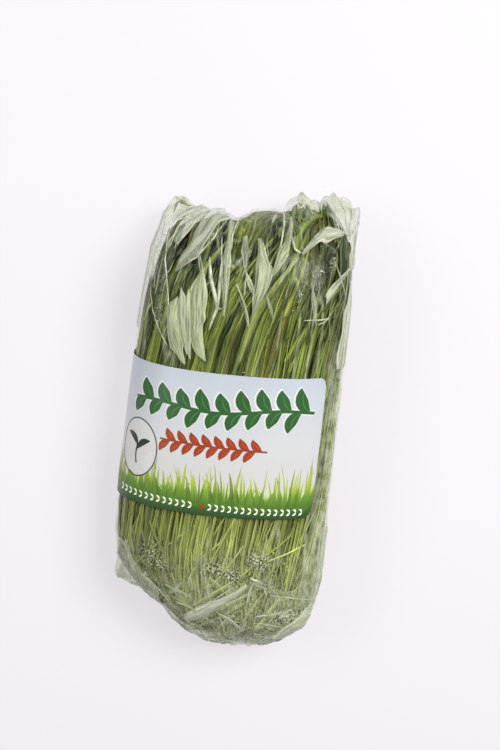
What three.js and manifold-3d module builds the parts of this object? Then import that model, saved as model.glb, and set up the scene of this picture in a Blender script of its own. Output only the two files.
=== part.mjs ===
// A clear film bag packed with cut wheatgrass, lying on its back with its label up.
//
// Millimetres, +Z up. The bag's length runs along Y, with its sealed bottom at -Y and its closed mouth,
// folded under the back, at +Y. The origin is under the middle of the whole bag, on the surface it lies on.
//
// Everything follows one skin: a row of closed sections, each with a left, right, front and back reach.
// place(u, depth, q) is a point that lies depth inside that skin, at the share u of the way round the
// section (0 under the back, 0.5 on the front) and at the section number q along the bag. Tufts, loose
// blades, film and label are all laid out in those three numbers, which keeps them out of each other.
import * as THREE from "three";
import { mergeVertices } from "three/addons/utils/BufferGeometryUtils.js";
import Module from "manifold-3d";

const wasm = await Module();
wasm.setup();

// ---- driving dimensions ----
const FILM = 0.7; // thickness of the film wall
const FILM_AROUND = 40; // corners in a section of the film
// Section numbers where the film has its rings: close together round its ends.
const FILM_RINGS = [
  0, 0.5, 1, 1.5, 2, 3, 4, 5, 6, 7, 8, 9, 10, 10.5, 11, 11.5, 12, 12.5, 13, 13.5, 14, 15, 16,
];

const LABEL_GAP = 0.4; // between the film and the label
const LABEL_THICK = 0.5;
const LABEL_BOTTOM = -44; // heights of the label's edges on the skin's middle height
const LABEL_TOP = 34.5;
const LABEL_RIGHT = 0.331; // shares round the section where the label ends
const LABEL_LEFT = 0.86;
const LABEL_SKEW = 0.01; // how far askew it is stuck on
const LABEL_TILT = 0.13; // it leans with the bag's own axis
const LABEL_CORNER = 6; // radius of its corners

const TUFTS = 20; // handfuls of shoots round the bundle
const TUFT_GAP = 0.9; // between neighbouring tufts, round the section
const TUFT_DEPTH = 3.4; // from the skin to the outermost blade of a tuft
const LAYERS = 4; // layers of shoots in a tuft, from the outside in
const SHOOTS_PER_LAYER = 2;
const LAYER_STEP = 1.6;
const TWIST = -0.15; // how far the bundle turns round the section from the cut ends to the tips
const LEAF_WIDTH = 4.6;
const STEM_WIDTH = 2.6;
const RIB = 1.3; // thickness of a blade at its middle rib

const LOOSE_DEPTH = 1.5; // loose blades lie between the tufts and the film
const LOOSE_WIDTH = 3.4;
const LOOSE_RIB = 0.9;

// ---- the skin ----
// Each section lies across the bag at y, z. turn is how far its plane has tipped over, in degrees: the
// mouth is folded over the end and lies under the back. square is 2 for an oval, more for a flatter one.
const SECTIONS = [
  { y: -132.5, z: 13, turn: 0, left: 5, right: 19, front: 2.2, back: 2.2, square: 2.1 },
  { y: -130, z: 16, turn: 0, left: -9, right: 32, front: 13, back: 12, square: 2.2 },
  { y: -122.5, z: 18.5, turn: 0, left: -21, right: 43, front: 21, back: 18, square: 2.2 },
  { y: -110.5, z: 21.5, turn: 0, left: -33, right: 52, front: 27, back: 21.5, square: 2.3 },
  { y: -96, z: 23.5, turn: 0, left: -49, right: 56, front: 29.5, back: 23.5, square: 2.3 },
  { y: -79, z: 25, turn: 0, left: -60, right: 56.8, front: 31, back: 25, square: 2.3 },
  { y: -50, z: 26.5, turn: 0, left: -62.6, right: 57, front: 32.5, back: 26.5, square: 2.3 },
  { y: -15, z: 28, turn: 0, left: -61.6, right: 57, front: 34.5, back: 28, square: 2.3 },
  { y: 25, z: 29.5, turn: 0, left: -60, right: 56.2, front: 36.5, back: 29.5, square: 2.3 },
  { y: 60, z: 32, turn: 0, left: -57.2, right: 55.8, front: 37, back: 29.2, square: 2.3 },
  { y: 83, z: 33, turn: 0, left: -54, right: 55.6, front: 36, back: 29, square: 2.4 },
  { y: 96.5, z: 28, turn: -15, left: -51.2, right: 55.4, front: 33, back: 20, square: 2.5 },
  { y: 101.5, z: 18, turn: -42, left: -49, right: 55, front: 20, back: 8.5, square: 2.8 },
  { y: 104.5, z: 9.6, turn: -78, left: -47.5, right: 54, front: 9, back: 2.8, square: 3.5 },
  { y: 102.5, z: 3.6, turn: -132, left: -47, right: 53, front: 3, back: 1.1, square: 5 },
  { y: 94, z: 1.6, turn: -180, left: -46.5, right: 52, front: 1.6, back: 1.2, square: 7 },
  { y: 55, z: 1.6, turn: -180, left: -46, right: 51, front: 1.6, back: 1.2, square: 7 },
];
const LAST = SECTIONS.length - 1;
const FLAT_FOOT = 0.93; // the share of a section's back reach at which the surface presses it flat

// Corners of the bag stand out past the packed part: place on the skin, reach of the peak and its spread.
const EARS = [
  { u: 0.725, q: 12.5, push: [0, 10.5, 2], spread: [0.04, 0.9] },
  { u: 0.4, q: 12.5, push: [-2, 14.5, 2], spread: [0.03, 0.9] },
  { u: 0.325, q: 12.5, push: [-1, 18, 3], spread: [0.03, 0.9] },
  { u: 0.25, q: 12, push: [0.5, 20, 2], spread: [0.05, 1.2] },
  { u: 0.8, q: 4, push: [-18, -8, -6], spread: [0.03, 0.9] },
];

// A smooth run through the values of one key of the sections.
function along(key, q) {
  const i = Math.min(Math.floor(q), LAST - 1);
  const t = q - i;
  const value = (k) => SECTIONS[Math.min(Math.max(k, 0), LAST)][key];
  const [a, b, c, d] = [value(i - 1), value(i), value(i + 1), value(i + 2)];
  const bend = 2 * a - 5 * b + 4 * c - d;
  return b + 0.5 * t * (c - a + t * (bend + t * (3 * (b - c) + d - a)));
}

const RING_SAMPLES = 180;
const powered = (v, n) => Math.sign(v) * Math.abs(v) ** (2 / n);

// One section as [across, high] pairs evenly spaced on its outline, starting under its back.
function outline(q) {
  const square = along("square", q);
  const middle = (along("left", q) + along("right", q)) / 2;
  const half = (along("right", q) - along("left", q)) / 2;
  const [front, back] = [along("front", q), along("back", q)];
  const points = [];
  let length = 0;
  for (let i = 0; i <= RING_SAMPLES; i++) {
    const angle = (i / RING_SAMPLES) * 2 * Math.PI - Math.PI / 2;
    const rise = powered(Math.sin(angle), square);
    const across = middle + half * powered(Math.cos(angle), square);
    const high = rise > 0 ? front * rise : Math.max((back / FLAT_FOOT) * rise, -back);
    if (i) length += Math.hypot(across - points[i - 1].across, high - points[i - 1].high);
    points.push({ across, high, length });
  }
  return { points, length, middle };
}

const outlines = new Map();
function outlineAt(q) {
  const key = q.toFixed(4);
  if (!outlines.has(key)) outlines.set(key, outline(q));
  return outlines.get(key);
}

// The point of the bare section at the share u round it, across and high in the section's own plane.
function onOutline(u, q) {
  const { points, length, middle } = outlineAt(q);
  const wanted = (u - Math.floor(u)) * length;
  let i = 1;
  while (i < RING_SAMPLES && points[i].length < wanted) i++;
  const [a, b] = [points[i - 1], points[i]];
  const t = (wanted - a.length) / Math.max(b.length - a.length, 1e-9);
  return {
    across: a.across + t * (b.across - a.across),
    high: a.high + t * (b.high - a.high),
    middle,
  };
}

// From a section's own plane into the part's frame.
function raised(across, high, q) {
  const turn = THREE.MathUtils.degToRad(along("turn", q));
  return new THREE.Vector3(
    across,
    along("y", q) - high * Math.sin(turn),
    along("z", q) + high * Math.cos(turn),
  );
}

// The skin itself, with the ears that stand out of it.
function skin(u, q) {
  const { across, high } = onOutline(u, q);
  const point = raised(across, high, q);
  for (const ear of EARS) {
    const round = Math.abs(((u - ear.u + 1.5) % 1) - 0.5) / ear.spread[0];
    const far = Math.abs(q - ear.q) / ear.spread[1];
    const share = Math.max(0, 1 - Math.hypot(round, far) * 0.75);
    point.addScaledVector(new THREE.Vector3(...ear.push), share);
  }
  return point;
}

// The skin pushed out along its own normal, or in where out is negative.
function shell(u, q, out) {
  const [du, dq] = [0.004, 0.02];
  const round = skin(u + du, q).sub(skin(u - du, q));
  const far = skin(u, Math.min(q + dq, LAST)).sub(skin(u, Math.max(q - dq, 0)));
  return skin(u, q).addScaledVector(far.cross(round).normalize(), out);
}

const SPINE = 0.45; // sections shrink onto a line this share of their width, not onto a point

// A point depth inside the skin, where a whole reach of the section counts as deep.
function place(u, depth, q) {
  const { across, high, middle } = onOutline(u, q);
  const reach = Math.min(along("front", q), along("back", q) + 4);
  const share = Math.max(1 - depth / reach, 0.05);
  const inward = SPINE + (1 - SPINE) * share;
  return raised(middle + (across - middle) * inward, high * share, q);
}

// How the whole bundle leans: a shift round the section that grows towards the tips.
const lean = (q) => (TWIST * (q - 2)) / 9;

// ---- building solids ----
// A closed skin over rings of equal length, with flat ends. One-point rings close to a tip.
function loft(rings) {
  const positions = [];
  const face = (a, b, c) => positions.push(...a.toArray(), ...b.toArray(), ...c.toArray());
  for (let r = 0; r + 1 < rings.length; r++) {
    const [low, high] = [rings[r], rings[r + 1]];
    const count = Math.max(low.length, high.length);
    for (let i = 0; i < count; i++) {
      const j = (i + 1) % count;
      if (high.length === 1) face(low[i], high[0], low[j]);
      else if (low.length === 1) face(low[0], high[i], high[j]);
      else {
        face(low[i], high[j], low[j]);
        face(low[i], high[i], high[j]);
      }
    }
  }
  const first = rings[0];
  const last = rings[rings.length - 1];
  for (let i = 1; i + 1 < first.length; i++) face(first[0], first[i], first[i + 1]);
  for (let i = 1; i + 1 < last.length; i++) face(last[0], last[i + 1], last[i]);
  return new THREE.BufferGeometry().setAttribute(
    "position",
    new THREE.Float32BufferAttribute(positions, 3),
  );
}

function solidOf(geometry) {
  const bare = new THREE.BufferGeometry().setAttribute("position", geometry.getAttribute("position"));
  const merged = mergeVertices(bare, 1e-4);
  const solid = new wasm.Manifold(
    new wasm.Mesh({
      numProp: 3,
      vertProperties: merged.attributes.position.array,
      triVerts: new Uint32Array(merged.index.array),
    }),
  );
  return solid;
}

function geometryOf(solid) {
  const mesh = solid.getMesh();
  const geometry = new THREE.BufferGeometry();
  geometry.setAttribute("position", new THREE.BufferAttribute(mesh.vertProperties, mesh.numProp));
  geometry.setIndex(new THREE.BufferAttribute(mesh.triVerts, 1));
  return geometry;
}

// A seeded draw between low and high, the same on every run.
function drawer(seed) {
  let state = seed * 2654435761;
  return (low, high) => {
    state = (state + 0x6d2b79f5) | 0;
    let t = Math.imul(state ^ (state >>> 15), 1 | state);
    t = (t + Math.imul(t ^ (t >>> 7), 61 | t)) ^ t;
    return low + (((t ^ (t >>> 14)) >>> 0) / 4294967296) * (high - low);
  };
}

// ---- the film bag ----
// One wall from the sealed bottom to the open mouth under the back, and back again inside it.
function filmBag() {
  const ring = (q, out) =>
    Array.from({ length: FILM_AROUND }, (_, i) => shell(i / FILM_AROUND, q, out));
  const outer = FILM_RINGS.map((q) => ring(q, 0));
  const inner = FILM_RINGS.map((q) => ring(q, -FILM));
  return loft([...outer, ...inner.reverse()]);
}

// ---- the label ----
// The section number at which the bag has the given length coordinate.
function sectionAt(y) {
  let [low, high] = [0, 10];
  for (let i = 0; i < 30; i++) {
    const mid = (low + high) / 2;
    if (along("y", mid) < y) low = mid;
    else high = mid;
  }
  return low;
}

function label() {
  const [around, tall] = [30, 5];
  const ring = (i, out) => {
    const u = LABEL_RIGHT + ((LABEL_LEFT - LABEL_RIGHT) * i) / around;
    const { length } = outlineAt(7);
    const fromEnd = Math.min(i, around - i) * ((LABEL_LEFT - LABEL_RIGHT) / around) * length;
    const inset = Math.max(LABEL_CORNER - fromEnd, 0);
    const cut = LABEL_CORNER - Math.sqrt(LABEL_CORNER ** 2 - inset ** 2);
    return Array.from({ length: tall + 1 }, (_, j) => {
      const height = LABEL_BOTTOM + cut + ((LABEL_TOP - LABEL_BOTTOM - 2 * cut) * j) / tall;
      const here = onOutline(u, sectionAt(height));
      const y = height + LABEL_SKEW * here.across - LABEL_TILT * here.high;
      return shell(u, sectionAt(y), out);
    });
  };
  const rings = [];
  for (let i = 0; i <= around; i++) {
    const inner = ring(i, LABEL_GAP);
    const outer = ring(i, LABEL_GAP + LABEL_THICK);
    rings.push([...inner, ...outer.reverse()]);
  }
  return loft(rings);
}

// ---- the wheatgrass ----
// A blade with a flat face and a rib behind it, tapering to a point. path(t) gives its place on the skin
// and wide(t) its width, for t from 0 at the cut end to 1 at the tip.
function blade(path, wide, rib, steps) {
  const rings = [];
  for (let i = 0; i < steps; i++) {
    const t = i / steps;
    const { u, depth, q } = path(t);
    const half = wide(t) / 2 / outlineAt(q).length;
    rings.push([
      place(u - half, depth, q),
      place(u + half, depth, q),
      place(u, depth + rib, q),
    ]);
  }
  const tip = path(1);
  rings.push([place(tip.u, tip.depth, tip.q)]);
  return loft(rings);
}

const smooth = (low, high, v) => THREE.MathUtils.smoothstep(v, low, high);

// The slim heart of a tuft, which its shoots stand out of.
const HEART_DEPTH = TUFT_DEPTH + LAYERS * LAYER_STEP + 0.3;

function tuftHeart(centre, half, from, to) {
  const rings = [];
  const steps = 8;
  for (let i = 0; i <= steps; i++) {
    const q = from + ((to - from) * i) / steps;
    const u = centre + lean(q);
    const inner = Math.min(along("front", q), along("back", q) + 4) * 0.65;
    rings.push([
      place(u - half, HEART_DEPTH, q),
      place(u + half, HEART_DEPTH, q),
      place(u + half, Math.max(inner, HEART_DEPTH + 2), q),
      place(u - half, Math.max(inner, HEART_DEPTH + 2), q),
    ]);
  }
  return loft(rings);
}

// One shoot: a narrow stem that comes out of the heart near the cut end, and widens into a leaf.
function shoot(centre, layer, slot, room, reach, draw) {
  const from = 1.45 + layer * 0.4 + draw(0, 0.3);
  const to = draw(...reach);
  const drift = draw(-0.5, 0.5);
  const bow = draw(-0.5, 0.5);
  const wide = (t) =>
    (STEM_WIDTH + (LEAF_WIDTH - STEM_WIDTH) * smooth(0.3, 0.6, t)) * (1 - smooth(0.75, 1.15, t));
  const path = (t) => {
    const q = from + (to - from) * t;
    const half = wide(t) / 2 / outlineAt(q).length;
    const swing = 0.25 * (drift * t + bow * Math.sin(Math.PI * t));
    const most = Math.max(room(q) - half, 0);
    const off = THREE.MathUtils.clamp((slot + swing) * room(q), -most, most);
    const sunk = (HEART_DEPTH + 1.6 - TUFT_DEPTH - layer * LAYER_STEP) * (1 - smooth(0, 0.16, t));
    return { u: centre + lean(q) + off, depth: TUFT_DEPTH + layer * LAYER_STEP + sunk, q };
  };
  return blade(path, wide, RIB, 7);
}

function tuft(index) {
  const draw = drawer(index + 11);
  const centre = index / TUFTS;
  const room = (q) => 0.5 / TUFTS - TUFT_GAP / 2 / outlineAt(q).length;
  const under = Math.abs(((centre + 0.5) % 1) - 0.5) < 0.2;
  const reach = under ? [8.6, 9.7] : [8.4, 11.4];
  let solid = solidOf(tuftHeart(centre, room(7) * 0.75, 1.8, under ? 9 : 9.8));
  for (let layer = 0; layer < LAYERS; layer++)
    for (let n = 0; n < SHOOTS_PER_LAYER; n++) {
      const stagger = layer % 2 ? 0.2 : -0.2;
      const slot = (n + 0.5) / (SHOOTS_PER_LAYER / 2) - 1 + stagger;
      solid = solid.add(solidOf(shoot(centre, layer, slot, room, reach, draw)));
    }
  return geometryOf(solid);
}

// Single blades that lie across the tufts, just under the film.
const LOOSE_BLADES = [
  { from: [0.56, 2.1], to: [0.44, 4.0] },
  { from: [0.45, 2.0], to: [0.36, 4.4] },
  { from: [0.6, 3.0], to: [0.52, 5.4] },
  { from: [0.5, 8.2], to: [0.41, 10.6] },
  { from: [0.62, 8.4], to: [0.55, 10.8] },
  { from: [0.13, 3.5], to: [0.2, 8.0] },
];

function looseBlade({ from, to }) {
  const path = (t) => ({
    u: from[0] + (to[0] - from[0]) * t + 0.012 * Math.sin(Math.PI * t),
    depth: LOOSE_DEPTH * (1.9 - 0.9 * smooth(1.8, 3, from[1] + (to[1] - from[1]) * t)),
    q: from[1] + (to[1] - from[1]) * t,
  });
  const wide = (t) => LOOSE_WIDTH * (0.55 + 0.45 * smooth(0, 0.3, t)) * (1 - smooth(0.7, 1.2, t));
  return blade(path, wide, LOOSE_RIB, 9);
}

// ---- materials ----
const FILM_CLEAR = new THREE.MeshStandardMaterial({
  color: 0xe4e9e0,
  roughness: 0.15,
  metalness: 0,
  transparent: true,
  opacity: 0.3,
});
const LABEL_PRINT = new THREE.MeshStandardMaterial({ color: 0xd3d9e0, roughness: 0.4, metalness: 0 });
const LEAF_GREEN = new THREE.MeshStandardMaterial({ color: 0x5e7a2e, roughness: 0.5, metalness: 0 });
const STEM_GREEN = new THREE.MeshStandardMaterial({ color: 0x96a83e, roughness: 0.5, metalness: 0 });

const number = (n) => String(n + 1).padStart(2, "0");

function named(name, geometry, material) {
  geometry.computeVertexNormals();
  const mesh = new THREE.Mesh(geometry, material);
  mesh.name = name;
  return mesh;
}

// ---- the whole ----
const bag = new THREE.Group();
bag.add(named("film_bag", filmBag(), FILM_CLEAR));
bag.add(named("label", label(), LABEL_PRINT));
for (let i = 0; i < TUFTS; i++) bag.add(named("tuft_" + number(i), tuft(i), LEAF_GREEN));
LOOSE_BLADES.forEach((line, i) =>
  bag.add(named("loose_blade_" + number(i), looseBlade(line), STEM_GREEN)),
);

const bounds = new THREE.Box3().setFromObject(bag);
const centre = bounds.getCenter(new THREE.Vector3());
bag.position.set(-centre.x, -centre.y, -bounds.min.z);

export default bag;
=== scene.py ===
"""A clear film bag packed with cut wheatgrass, on its back with its label up: the looks, round the frame.

Every piece follows the frame's own skin: u is the share of the way round a section (0 under the back, 0.5 on
the front), q the number of the section along the bag (0 at the sealed bottom). Lengths are millimetres until
to_frame() turns them into the frame's metres.
"""
import math

import bpy
import numpy as np
from mathutils import Matrix, Vector


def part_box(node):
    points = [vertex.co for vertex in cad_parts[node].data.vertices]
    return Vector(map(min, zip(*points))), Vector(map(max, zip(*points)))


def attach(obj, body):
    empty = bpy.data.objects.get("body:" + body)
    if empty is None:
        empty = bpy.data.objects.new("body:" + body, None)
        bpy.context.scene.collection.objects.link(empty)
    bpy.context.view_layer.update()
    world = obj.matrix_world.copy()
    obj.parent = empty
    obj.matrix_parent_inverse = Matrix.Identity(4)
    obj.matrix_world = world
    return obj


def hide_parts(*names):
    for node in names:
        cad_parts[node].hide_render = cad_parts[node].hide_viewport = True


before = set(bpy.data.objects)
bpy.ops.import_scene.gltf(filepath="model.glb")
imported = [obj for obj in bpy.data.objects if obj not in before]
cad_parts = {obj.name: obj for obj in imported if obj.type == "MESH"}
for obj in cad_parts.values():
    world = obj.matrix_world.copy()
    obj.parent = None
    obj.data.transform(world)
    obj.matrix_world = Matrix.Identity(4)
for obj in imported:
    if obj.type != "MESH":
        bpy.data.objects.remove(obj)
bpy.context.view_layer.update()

MM = 0.001

# ---- the skin, the same as the frame's ----
SECTION_KEYS = ("y", "z", "turn", "left", "right", "front", "back", "square")
SECTIONS = np.array(
    (
        (-132.5, 13, 0, 5, 19, 2.2, 2.2, 2.1),
        (-130, 16, 0, -9, 32, 13, 12, 2.2),
        (-122.5, 18.5, 0, -21, 43, 21, 18, 2.2),
        (-110.5, 21.5, 0, -33, 52, 27, 21.5, 2.3),
        (-96, 23.5, 0, -49, 56, 29.5, 23.5, 2.3),
        (-79, 25, 0, -60, 56.8, 31, 25, 2.3),
        (-50, 26.5, 0, -62.6, 57, 32.5, 26.5, 2.3),
        (-15, 28, 0, -61.6, 57, 34.5, 28, 2.3),
        (25, 29.5, 0, -60, 56.2, 36.5, 29.5, 2.3),
        (60, 32, 0, -57.2, 55.8, 37, 29.2, 2.3),
        (83, 33, 0, -54, 55.6, 36, 29, 2.4),
        (96.5, 28, -15, -51.2, 55.4, 33, 20, 2.5),
        (101.5, 18, -42, -49, 55, 20, 8.5, 2.8),
        (104.5, 9.6, -78, -47.5, 54, 9, 2.8, 3.5),
        (102.5, 3.6, -132, -47, 53, 3, 1.1, 5),
        (94, 1.6, -180, -46.5, 52, 1.6, 1.2, 7),
        (55, 1.6, -180, -46, 51, 1.6, 1.2, 7),
    ),
    float,
)
LAST = len(SECTIONS) - 1
FLAT_FOOT = 0.93
SPINE = 0.45
TWIST = -0.15
# Corners of film that stand out: u, q, how far they are pushed, and how far they spread round and along.
EARS = (
    (0.725, 12.5, (0, 10.5, 2), (0.04, 0.9)),
    (0.4, 12.5, (-2, 14.5, 2), (0.03, 0.9)),
    (0.325, 12.5, (-1, 18, 3), (0.03, 0.9)),
    (0.25, 12, (0.5, 20, 2), (0.05, 1.2)),
    (0.8, 4, (-18, -8, -6), (0.03, 0.9)),
)
FRAME_AROUND = 40
FRAME_RINGS = (0, 0.5, 1, 1.5, 2, 3, 4, 5, 6, 7, 8, 9, 10, 10.5, 11, 11.5, 12, 12.5, 13, 13.5, 14, 15, 16)
RING_SAMPLES = 180
TABLE_ROWS = LAST * 20
TABLE_COLUMNS = 240


def eased(column, q):
    """A smooth run through values that stand at q = 0, 1, 2 and so on."""
    q = np.asarray(q, float)
    last = len(column) - 1
    i = np.clip(np.floor(q).astype(int), 0, last - 1)
    t = q - i
    a, b, c, d = (column[np.clip(i + k, 0, last)] for k in (-1, 0, 1, 2))
    bend = 2 * a - 5 * b + 4 * c - d
    return b + 0.5 * t * (c - a + t * (bend + t * (3 * (b - c) + d - a)))


def along(key, q):
    """One key of the sections, anywhere along the bag."""
    return eased(SECTIONS[:, SECTION_KEYS.index(key)], q)


def powered(v, n):
    return np.sign(v) * np.abs(v) ** (2 / n)


def outline_tables():
    """Sections as evenly spaced points, across and high in their own planes, and their lengths."""
    q = np.linspace(0, LAST, TABLE_ROWS + 1)[:, None]
    angle = np.linspace(-0.5, 1.5, RING_SAMPLES + 1)[None] * math.pi
    left, right, front, back, square = (along(k, q) for k in ("left", "right", "front", "back", "square"))
    rise = powered(np.sin(angle), square)
    across = (left + right) / 2 + (right - left) / 2 * powered(np.cos(angle), square)
    high = np.where(rise > 0, front * rise, np.maximum(back / FLAT_FOOT * rise, -back))
    steps = np.hypot(np.diff(across, axis=1), np.diff(high, axis=1))
    gone = np.concatenate([np.zeros((len(q), 1)), np.cumsum(steps, axis=1)], axis=1)
    share = np.linspace(0, 1, TABLE_COLUMNS + 1)
    even_across = [np.interp(share * g[-1], g, a) for g, a in zip(gone, across)]
    even_high = [np.interp(share * g[-1], g, h) for g, h in zip(gone, high)]
    return np.array(even_across), np.array(even_high), gone[:, -1]


TABLE_ACROSS, TABLE_HIGH, TABLE_LENGTH = outline_tables()


def looked_up(table, u, q):
    column = np.mod(u, 1.0) * TABLE_COLUMNS
    row = np.clip(q, 0, LAST) / LAST * TABLE_ROWS
    i = np.minimum(row.astype(int), TABLE_ROWS - 1)
    j = np.minimum(column.astype(int), TABLE_COLUMNS - 1)
    s, t = row - i, column - j
    low = table[i, j] * (1 - t) + table[i, j + 1] * t
    high = table[i + 1, j] * (1 - t) + table[i + 1, j + 1] * t
    return low * (1 - s) + high * s


def round_length(q):
    return np.interp(q, np.linspace(0, LAST, TABLE_ROWS + 1), TABLE_LENGTH)


def raised(across, high, q):
    """From a section's own plane into the bag's space."""
    turn = np.radians(along("turn", q))
    y = along("y", q) - high * np.sin(turn)
    z = along("z", q) + high * np.cos(turn)
    return np.stack([across, y, z], -1)


def pushed(u, q):
    """How far the corners of film that stand out move a point of the skin."""
    total = np.zeros((*np.shape(u), 3))
    for ear_u, ear_q, push, spread in EARS:
        near = np.abs(np.mod(u - ear_u + 1.5, 1) - 0.5) / spread[0]
        far = np.abs(q - ear_q) / spread[1]
        share = np.maximum(0, 1 - np.hypot(near, far) * 0.75)
        total = total + share[..., None] * np.array(push, float)
    return total


def skin(u, q):
    u, q = np.broadcast_arrays(np.asarray(u, float), np.asarray(q, float))
    return raised(looked_up(TABLE_ACROSS, u, q), looked_up(TABLE_HIGH, u, q), q) + pushed(u, q)


def unit(vectors):
    return vectors / np.maximum(np.linalg.norm(vectors, axis=-1, keepdims=True), 1e-9)


def outward(u, q):
    """The skin's normal."""
    du, dq = 0.004, 0.02
    round_way = skin(u + du, q) - skin(u - du, q)
    far_way = skin(u, np.minimum(q + dq, LAST)) - skin(u, np.maximum(q - dq, 0))
    return unit(np.cross(far_way, round_way))


# Where the top edge sinks in or stands up, front and back together: u, how far round, and mm.
TOP_EDGE = ((0.562, 0.045, -6.0), (0.475, 0.085, 3.0))
TOP_EDGE_SECTIONS = (11.2, 12.2)
# How far the grass reaches up into the corners of film on the right: u, how far round, and mm.
STUFFED = (0.37, 0.1, 8.0)
STUFFED_SECTIONS = (10.6, 12.2)


def settled(u, q):
    """How far along the bag the top edge has moved."""
    u = np.mod(u, 1.0)
    front = np.where(np.abs(u - 0.5) < 0.25, u, np.mod(1.5 - u, 1.0))
    total = 0 * front
    for at_u, half, rise in TOP_EDGE:
        total = total + rise * bump_at(front, at_u, half)
    moved = total * smooth(*TOP_EDGE_SECTIONS, q)
    return moved[..., None] * np.array((0.0, 1.0, 0.0))


def stuffed(u, q):
    """How far along the bag the grass is pushed up into its corners."""
    at_u, half, reach = STUFFED
    rise = reach * bump_at(u, at_u, half) * smooth(*STUFFED_SECTIONS, q)
    return rise[..., None] * np.array((0.0, 1.0, 0.0))


def shell(u, q, out):
    return skin(u, q) + outward(u, q) * np.asarray(out, float)[..., None] + settled(u, q)


def place(u, depth, q):
    """A point depth inside the skin."""
    u, depth, q = np.broadcast_arrays(np.asarray(u, float), depth, q)
    across = looked_up(TABLE_ACROSS, u, q)
    high = looked_up(TABLE_HIGH, u, q)
    middle = (along("left", q) + along("right", q)) / 2
    reach = np.minimum(along("front", q), along("back", q) + 4)
    share = np.maximum(1 - depth / reach, 0.05)
    inward = SPINE + (1 - SPINE) * share
    return raised(middle + (across - middle) * inward, high * share, q) + settled(u, q) + stuffed(u, q)


def lean(q):
    return TWIST * (q - 2) / 9


def middle_of_frame():
    """How far the skin's numbers are from the frame's origin."""
    rings = skin(np.arange(FRAME_AROUND)[None] / FRAME_AROUND, np.array(FRAME_RINGS, float)[:, None])
    own_low = rings.reshape(-1, 3).min(0)
    own_high = rings.reshape(-1, 3).max(0)
    low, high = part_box("film_bag")
    return (np.array(low) + np.array(high)) / 2 / MM - (own_low + own_high) / 2


SHIFT = middle_of_frame()


def to_frame(points):
    return (points + SHIFT) * MM


# ---- noise and small helpers ----
def smooth(low, high, v):
    t = np.clip((v - low) / (high - low), 0, 1)
    return t * t * (3 - 2 * t)


def bump_at(u, middle, half):
    """1 at one place round the bag, fading to 0 at half the way round from it on each side."""
    away = np.abs(np.mod(u - middle + 0.5, 1) - 0.5)
    return smooth(0, 1, 1 - away / half)


def at(value, t):
    """A number or a function of t, at each t."""
    return value(t) if callable(value) else np.full(len(t), float(value))


def between(a, b):
    return lambda t: a + (b - a) * t


def tapered(t, power):
    """1 along most of a leaf, down to 0 at its tip."""
    return np.sqrt(np.clip(1 - np.clip(t, 0, 1) ** power, 0, 1))


CELL_PRIMES = (73856093, 19349663, 83492791)
SEED_PRIME = 2654435761
MIXERS = (2246822519, 3266489917)
LOW_32_BITS = 0xFFFFFFFF


def noise(x, y, z, seed):
    """Smooth lattice noise from -1 to 1."""
    cells = [np.floor(a).astype(np.int64) for a in (x, y, z)]
    parts = [a - c for a, c in zip((x, y, z), cells)]
    wx, wy, wz = (p * p * (3 - 2 * p) for p in parts)

    def corner(a, b, c):
        mixed = seed * SEED_PRIME
        for cell, step, prime in zip(cells, (a, b, c), CELL_PRIMES):
            mixed = mixed ^ (cell + step) * prime
        mixed = mixed & LOW_32_BITS
        mixed = ((mixed ^ mixed >> 15) * MIXERS[0]) & LOW_32_BITS
        mixed = ((mixed ^ mixed >> 13) * MIXERS[1]) & LOW_32_BITS
        return ((mixed ^ mixed >> 16) & 0xFFFF) / 32767.5 - 1

    total = 0
    for a in (0, 1):
        for b in (0, 1):
            for c in (0, 1):
                share = (wx if a else 1 - wx) * (wy if b else 1 - wy) * (wz if c else 1 - wz)
                total = total + corner(a, b, c) * share
    return total


def round_noise(u, q, waves, per_section, seed):
    """Noise that meets itself round the section: waves features round it, per_section along each section."""
    radius = waves / (2 * math.pi)
    angle = u * 2 * math.pi
    return noise(radius * np.cos(angle) + 40, radius * np.sin(angle) + 40, q * per_section + 40, seed)


def deselect():
    bpy.ops.object.select_all(action="DESELECT")


def named(name):
    piece = bpy.context.object
    piece.name = name
    piece.data.name = name
    return piece


def corners(piece):
    places = np.empty(len(piece.data.vertices) * 3)
    piece.data.vertices.foreach_get("co", places)
    return places.reshape(-1, 3)


def shape(piece, places):
    piece.data.vertices.foreach_set("co", np.ascontiguousarray(places, float).ravel())
    piece.data.update()


def grid(name, columns, rows):
    """A flat grid to be shaped, with each corner's share across and along it."""
    deselect()
    bpy.ops.mesh.primitive_grid_add(x_subdivisions=columns, y_subdivisions=rows, size=1)
    piece = named(name)
    flat = corners(piece)
    return piece, flat[:, 0] + 0.5, flat[:, 1] + 0.5


def chosen(piece):
    """Selects one piece and nothing else."""
    deselect()
    piece.select_set(True)
    bpy.context.view_layer.objects.active = piece


def faced_out(piece, merge=0.0):
    """Merges the corners that meet, if asked to, and turns all faces outward."""
    chosen(piece)
    bpy.ops.object.mode_set(mode="EDIT")
    bpy.ops.mesh.select_all(action="SELECT")
    if merge:
        bpy.ops.mesh.remove_doubles(threshold=merge)
    bpy.ops.mesh.normals_make_consistent(inside=False)
    bpy.ops.object.mode_set(mode="OBJECT")
    bpy.ops.object.shade_smooth()


def crisp(piece):
    """Smooth shading that stops at sharp edges."""
    chosen(piece)
    bpy.ops.object.shade_smooth_by_angle(angle=math.radians(35))


def strip_template(name, columns, rows):
    """A flat strip with a back, to be copied and put in place."""
    piece, _, _ = grid(name, columns, rows)
    thicken = piece.modifiers.new("thick", "SOLIDIFY")
    thicken.thickness = 1.0
    thicken.offset = 0
    chosen(piece)
    bpy.ops.object.modifier_apply(modifier=thicken.name)
    faced_out(piece)
    return piece


def joined(name, copies):
    deselect()
    for copy in copies:
        copy.select_set(True)
    bpy.context.view_layer.objects.active = copies[0]
    if len(copies) > 1:
        bpy.ops.object.join()
    return named(name)


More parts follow.
